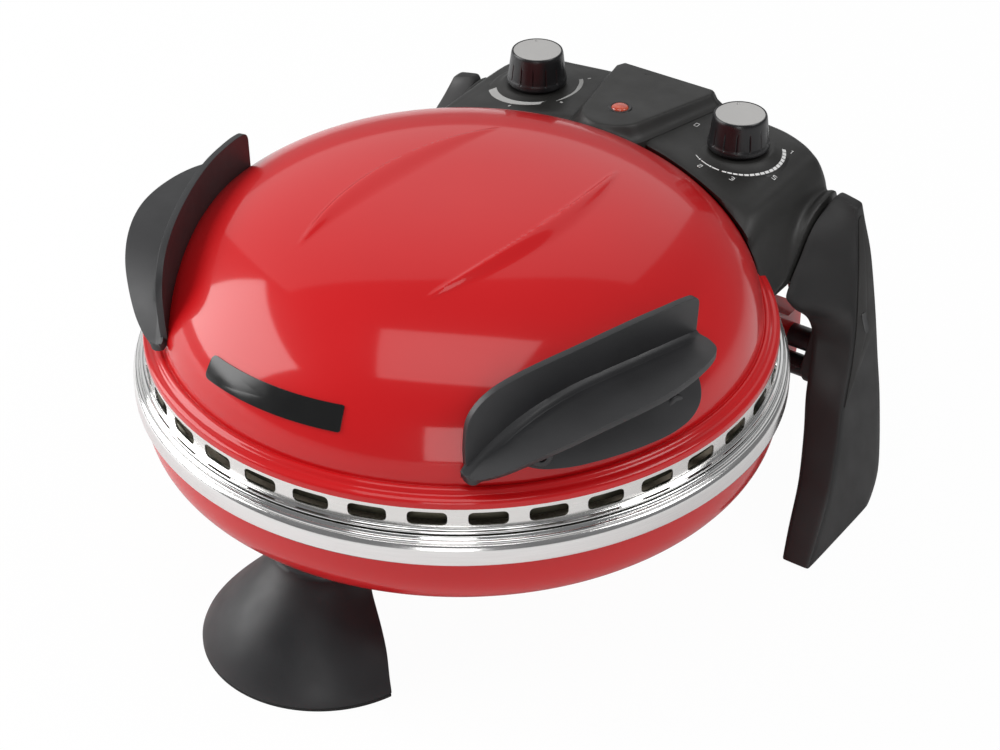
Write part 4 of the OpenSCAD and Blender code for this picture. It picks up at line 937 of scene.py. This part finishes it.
def leg_drop(x, z):
    """How far the leg's top slopes down, more towards its outer face."""
    return ease((z - 118) / 32) * (0.8 + 0.2 * (x - CHEEK_X))


def leg_rings(z):
    """Plan of the leg at each height: an inner edge that rounds over the arch to the cheek, a front face that
    sweeps forward to meet it, and rounded outer corners."""
    z = z[:, None]
    xc = CHEEK_X + 0.6
    plain = curve(z, [0, 12, 30, 60, 80, 116], [162, 156, 148.4, 136.4, 129, xc])
    rise = np.clip((z - ARCH_LOW) / (ARCH_TOP - ARCH_LOW), 0, 1)
    share = 1 - np.sqrt(1 - rise**2)
    x0 = plain + (xc - plain) * share + 0.8 * np.clip(z - 147.5, 0, None)
    x1, y0, y1 = leg_outside(z), leg_front(z), leg_back(z)
    at_cheek = curve(z, [84, 94, 101, 108, 117, 127, 137, 143, 147, 152],
                     [float(leg_front(84.0)), 138, 130, 129, 134, 143, 151, 159, 168, 177])
    slope = (y0 - np.minimum(at_cheek, y1 - 2)) / (x1 - xc) * (z > ARCH_LOW)
    yi = y0 - slope * (x1 - x0)
    c = np.minimum(1.3, np.minimum((x1 - x0) / 3, (y1 - y0) / 4))
    xs = np.hstack([x0, x0 + 0.4, x0 + (x1 - x0) * 0.3, x0 + (x1 - x0) * 0.65, x1 - c, x1 - 0.3 * c, x1, x1, x1,
                    x1 - 0.3 * c, x1 - c, x0 + (x1 - x0) * 0.5, x0 + 0.4, x0, x0])
    ys = np.hstack([yi + 1.0, yi, y0 - slope * (x1 - x0) * 0.7, y0 - slope * (x1 - x0) * 0.35, y0 - slope * c,
                    y0 + 0.3 * c, y0 + c, (y0 + y1) / 2, y1 - 1.6 * c, y1 - 0.5 * c, y1, y1, y1, y1 - 0.8,
                    (yi + y1) / 2])
    return xyz(xs, ys, z - leg_drop(xs, z))


def leg():
    """Raked leg: its plan carried up from the table to a rounded top."""
    z = np.concatenate([[1.7, 2.3, 4, 8], np.arange(13, 84, 6.0), np.arange(84, 109, 2.4),
                        np.arange(111, 147, 4.0), [148.5, 150.4]])
    points = leg_rings(z)
    top = leg_rings(np.array([151.0]))[0]
    middle = top.mean(0)
    rows = [points]
    for k, lift in ((0.97, 0.5), (0.85, 1.0), (0.5, 1.3), (0.0, 1.4)):
        ring_up = middle + (top - middle) * k
        ring_up[:, 2] = 150.6 + lift - leg_drop(ring_up[:, 0], 151)
        rows.append(ring_up[None])
    foot = points[0]
    foot_mid = foot.mean(0)
    below = [np.broadcast_to(foot_mid, foot.shape)[None], (foot_mid + (foot - foot_mid) * 0.9)[None]]
    grid = np.concatenate(below + rows)
    obj = piece("right_leg", [loops(grid)], "base", LEG, ["right_leg"], "black_moulding", merge=1e-5)
    finish_sheet(obj, smooth=1, sharp=55)
    mirrored(obj, "left_leg")
    lug = closed_line([(146, 50), (164, 44), (175, 54), (178.5, 59), (180.5, 90), (174, 97.5), (150, 92),
                       (136, 64), (138, 56)], 5, 6, 120)
    x = np.array([124.2, 124.2, 124.8, 138.0, 138.0])[:, None]
    sheet = disc_grid(lug, (156.0, 64.0), [0.0, 0.97, 1.0, 1.0, 0.0])
    mirrored(piece("right_leg_lug", [loops(xyz(x, sheet[..., 0], sheet[..., 1]))], "base", LEG,
                   slot="black_moulding"))


def leg_panel():
    """Pointed cover let into the leg's outer face, crowned a little, with a screw well."""
    low, high = 60.0, 146.5
    front = [(float(leg_front(z)) + 2.6, z) for z in (low, 66, 76, 92, 108, 124, 138, high)]
    back = [(float(leg_back(z)) - 2.4, z) for z in (high, 132, 118, 106, 96, 86)]
    outline = closed_line(front + back, [0.9, 3, 6, 8, 8, 8, 6, 2.2, 2.2, 8, 6, 6, 4, 2.5], 5, 200)
    spine_z = np.clip(outline[:, 1], 80, 138)
    slant = (leg_back(86) - 5 - leg_front(low)) * (spine_z - low) / (86 - low)
    behind = np.where(spine_z < 86, leg_front(low) + 2.6 + slant, leg_back(spine_z) - 2.4)
    spine = np.stack([(leg_front(spine_z) + 2.6 + behind) / 2, spine_z], 1)
    rings = np.array([1, 0.97, 0.9, 0.75, 0.5, 0.25, 0.0])
    sheet = disc_grid(outline, spine, rings)
    y, z = sheet[..., 0], sheet[..., 1]
    x = leg_outside(z) + 0.35 + 0.5 * (1 - rings[:, None]**2)
    # the panel wears the lighter black, with painted light in its colour
    obj = piece("right_leg_panel", [loops(xyz(x, y, z - leg_drop(x, z)))], "base", PAINTED_LIGHT_PANEL, ["right_leg_cover"],
                "black_moulding")
    face_along(obj, Vector((1, 0, 0)))
    mirrored(finish_sheet(obj, 1.8, 0.5), "left_leg_cover")
    well_z = 92.0
    y0 = float(leg_front(well_z)) + 11
    oval = closed_line([(-1.9, -4.4), (1.9, -4.4), (1.9, 4.4), (-1.9, 4.4)], 1.9, 8, 48)
    oval = oval * np.array([0.0, 1.0, 1.22, 1.28])[:, None, None]
    out, z = np.array([0.95, 0.95, 1.02, 0.8])[:, None], well_z + oval[..., 1]
    well = xyz(leg_outside(z) + out, y0 + oval[..., 0], z)
    obj = piece("right_screw_well", [loops(well)], "base", KNOB, slot="black_moulding", outward=False)
    mirrored(finish_sheet(obj, 0.4))


FOOT_R, FOOT_H, NECK_R = 61.4, 52.65, 27.0
# The sheet runs from the top of the soft strip to where it is stretched to meet the bowl
FOOT_LOW, FOOT_TOP, FOOT_WALL = 1.7, 57.5, 2.6


def foot_sheet(z, inset=0.0):
    """Bell cut behind by a plane that leans back. Its radius is R (1 - (z / H)^1.3)^0.775, blended into a neck
    by the fifth power; the axis moves back along the neck so that the front keeps the bell's own line."""
    u = np.linspace(-1, 1, 121)[None, :]
    z = z[:, None]
    bell = FOOT_R * (1 - np.clip(z / FOOT_H, 0, 1)**1.3)**0.775
    r = (bell**5 + NECK_R**5)**(1 / 5)
    axis = np.minimum(-119.1 - 0.24 * z + r - bell, -113)
    cut = curve(z, [0, 8, 20, 40, 60], [-140.3, -137.6, -130.4, -116.8, -103.2])
    angle = u * np.arccos(np.clip((axis - cut) / r, -1, 1))
    r = r - inset
    return xyz(r * np.sin(angle), axis - r * np.cos(angle), z)


def foot():
    """Scoop foot running up to the bowl, and the soft strip under its edge."""
    points = foot_sheet(np.linspace(FOOT_LOW, FOOT_TOP, 66))
    lift = bowl_height(np.hypot(points[..., 0], points[..., 1])) - (FOOT_TOP - 0.6)
    points[..., 2] += lift * ease((points[..., 2] - 42) / (FOOT_TOP - 42))
    obj = piece("scoop_foot", [(points, quads(66, 121))], "base", FOOT, ["front_foot"], "black_moulding",
                outward=False)
    face_along(obj, Vector((0, -1, 0)))
    finish_sheet(obj, FOOT_WALL, 0.5)
    inner, outer = foot_sheet(np.array([0.0]), FOOT_WALL)[0], foot_sheet(np.array([0.0]), 0.3)[0]
    low, high = (0, 0, 0.02), (0, 0, FOOT_LOW - 0.1)
    rows = np.stack([outer + low, outer + high, inner + high, inner + low])
    rows = np.concatenate([rows, rows[:1]])
    ends = [(np.stack([rows[:2, k], rows[[3, 2], k]]), quads(2, 2)) for k in (0, 120)]
    pad = piece("foot_strip", [(rows, quads(5, 121))] + ends, "base", RUBBER, ["front_foot_pad"], "pad_rubber",
                merge=1e-5)
    settle(pad, 35)


def badge():
    """Bare plate on the front of the dome: a rounded rectangle wrapped on the dome, slightly crowned."""
    outline = closed_line([(-41, -6), (41, -6), (41, 6), (-41, 6)], [3.2, 1, 1, 3.2], 8, 180)
    sheet = disc_grid(outline, (0, 0), [1, 0.985, 0.95, 0.8, 0.5, 0.2, 0.0])
    along, up = sheet[..., 0], sheet[..., 1]
    z = 154.0 + along * 0.035 + up * 0.9
    r = dome_radius(z) + 0.9
    angle = math.radians(-92.3) + along / 146
    obj = piece("bare_badge", [loops(xyz(r * np.cos(angle), r * np.sin(angle), z))], "lid", BADGE,
                ["badge_plate"], "badge", outward=False)
    outward_from_axis(obj)
    return finish_sheet(obj, 0.85, 0.25)


lid_dome()
bowl()
steel_rings()
slotted_band()
handles()
console()
nose()
for side in ("left", "right"):
    pedestal(side)
scales()
knob("left", "thermostat_dial", "thermostat_knob", "thermostat_cap")
knob("right", "timer_dial", "timer_knob", "timer_cap")
lamp()
leg()
leg_panel()
foot()
badge()


# ---------- camera, light and floor ----------

def linked(name, data):
    """An object that shows the data, linked to the scene."""
    obj = bpy.data.objects.new(name, data)
    bpy.context.scene.collection.objects.link(obj)
    return obj


def camera():
    """Long lens in front, to the right and above."""
    azimuth, elevation, roll = math.radians(34.89), math.radians(34.48), math.radians(0.11)
    back = Vector((math.sin(azimuth) * math.cos(elevation), -math.cos(azimuth) * math.cos(elevation),
                   math.sin(elevation)))
    right = Vector((math.cos(azimuth), math.sin(azimuth), 0))
    up = back.cross(right)
    turn = Matrix((right, up, back)).transposed().to_4x4() @ Matrix.Rotation(roll, 4, "Z")
    data = bpy.data.cameras.new("camera")
    data.lens, data.sensor_width = 84.26, 36
    data.clip_end = 20
    obj = linked("camera", data)
    obj.matrix_world = Matrix.Translation((0.5842, -0.8181, 0.7697)) @ turn
    bpy.context.scene.camera = obj


def softbox(name, place, aim, size, power):
    """A rectangular light at a place in metres that looks at a point."""
    data = bpy.data.lights.new(name, "AREA")
    data.shape = "RECTANGLE"
    data.size, data.size_y = size
    data.energy = power
    obj = linked(name, data)
    obj.location = place
    obj.rotation_euler = (Vector(aim) - Vector(place)).to_track_quat("-Z", "Y").to_euler()


def seen_white(tree, plain, bright, share, output):
    """Mixes a share of a bright shader into what the camera sees; other rays meet only the plain one."""
    path = tree.nodes.new("ShaderNodeLightPath")
    part = tree.nodes.new("ShaderNodeMath")
    part.operation = "MULTIPLY"
    part.inputs[1].default_value = share
    mix = tree.nodes.new("ShaderNodeMixShader")
    tree.links.new(path.outputs["Is Camera Ray"], part.inputs[0])
    tree.links.new(part.outputs[0], mix.inputs["Fac"])
    tree.links.new(plain.outputs[0], mix.inputs[1])
    tree.links.new(bright.outputs[0], mix.inputs[2])
    tree.links.new(mix.outputs["Shader"], tree.nodes[output].inputs["Surface"])


def studio():
    """White paper floor and backdrop, dim all-round light and soft lights."""
    scene = bpy.context.scene
    scene.view_settings.view_transform = "Standard"
    world = bpy.data.worlds.new("studio")
    scene.world = world
    world.use_nodes = True
    tree = world.node_tree
    plain = feed(tree.nodes["Background"], Color=(0.90, 0.91, 0.93, 1), Strength=0.22)
    white = feed(tree.nodes.new("ShaderNodeBackground"), Color=(1, 1, 1, 1))
    seen_white(tree, plain, white, 1.0, "World Output")

    floor = bpy.data.meshes.new("floor")
    floor.from_pydata([(-6, -6, 0), (6, -6, 0), (6, 6, 0), (-6, 6, 0)], [], [(0, 1, 2, 3)])
    material = bpy.data.materials.new("floor")
    material.use_nodes = True
    tree = material.node_tree
    paper = feed(tree.nodes["Principled BSDF"], Base_Color=(0.90, 0.90, 0.90, 1), Roughness=0.9)
    glow = feed(tree.nodes.new("ShaderNodeEmission"), Strength=1.0)
    seen_white(tree, paper, glow, 0.97, "Material Output")
    floor.materials.append(material)
    obj = linked("floor", floor)

    softbox("left_window", (-1.35, -0.62, 0.80), (0, 0, 0.12), (1.3, 1.15), 22)
    softbox("back_panel", (-1.05, 1.35, 1.35), (0, 0, 0.12), (2.8, 1.9), 9.5)
    softbox("right_window", (1.15, 0.42, 1.25), (0, 0, 0.12), (0.75, 0.75), 8)
    softbox("overhead", (0.15, -0.35, 1.75), (0, 0, 0.12), (1.1, 0.9), 7)
    softbox("front_fill", (0.9, -1.5, 0.55), (0, 0, 0.10), (0.5, 1.0), 5)


camera()
studio()
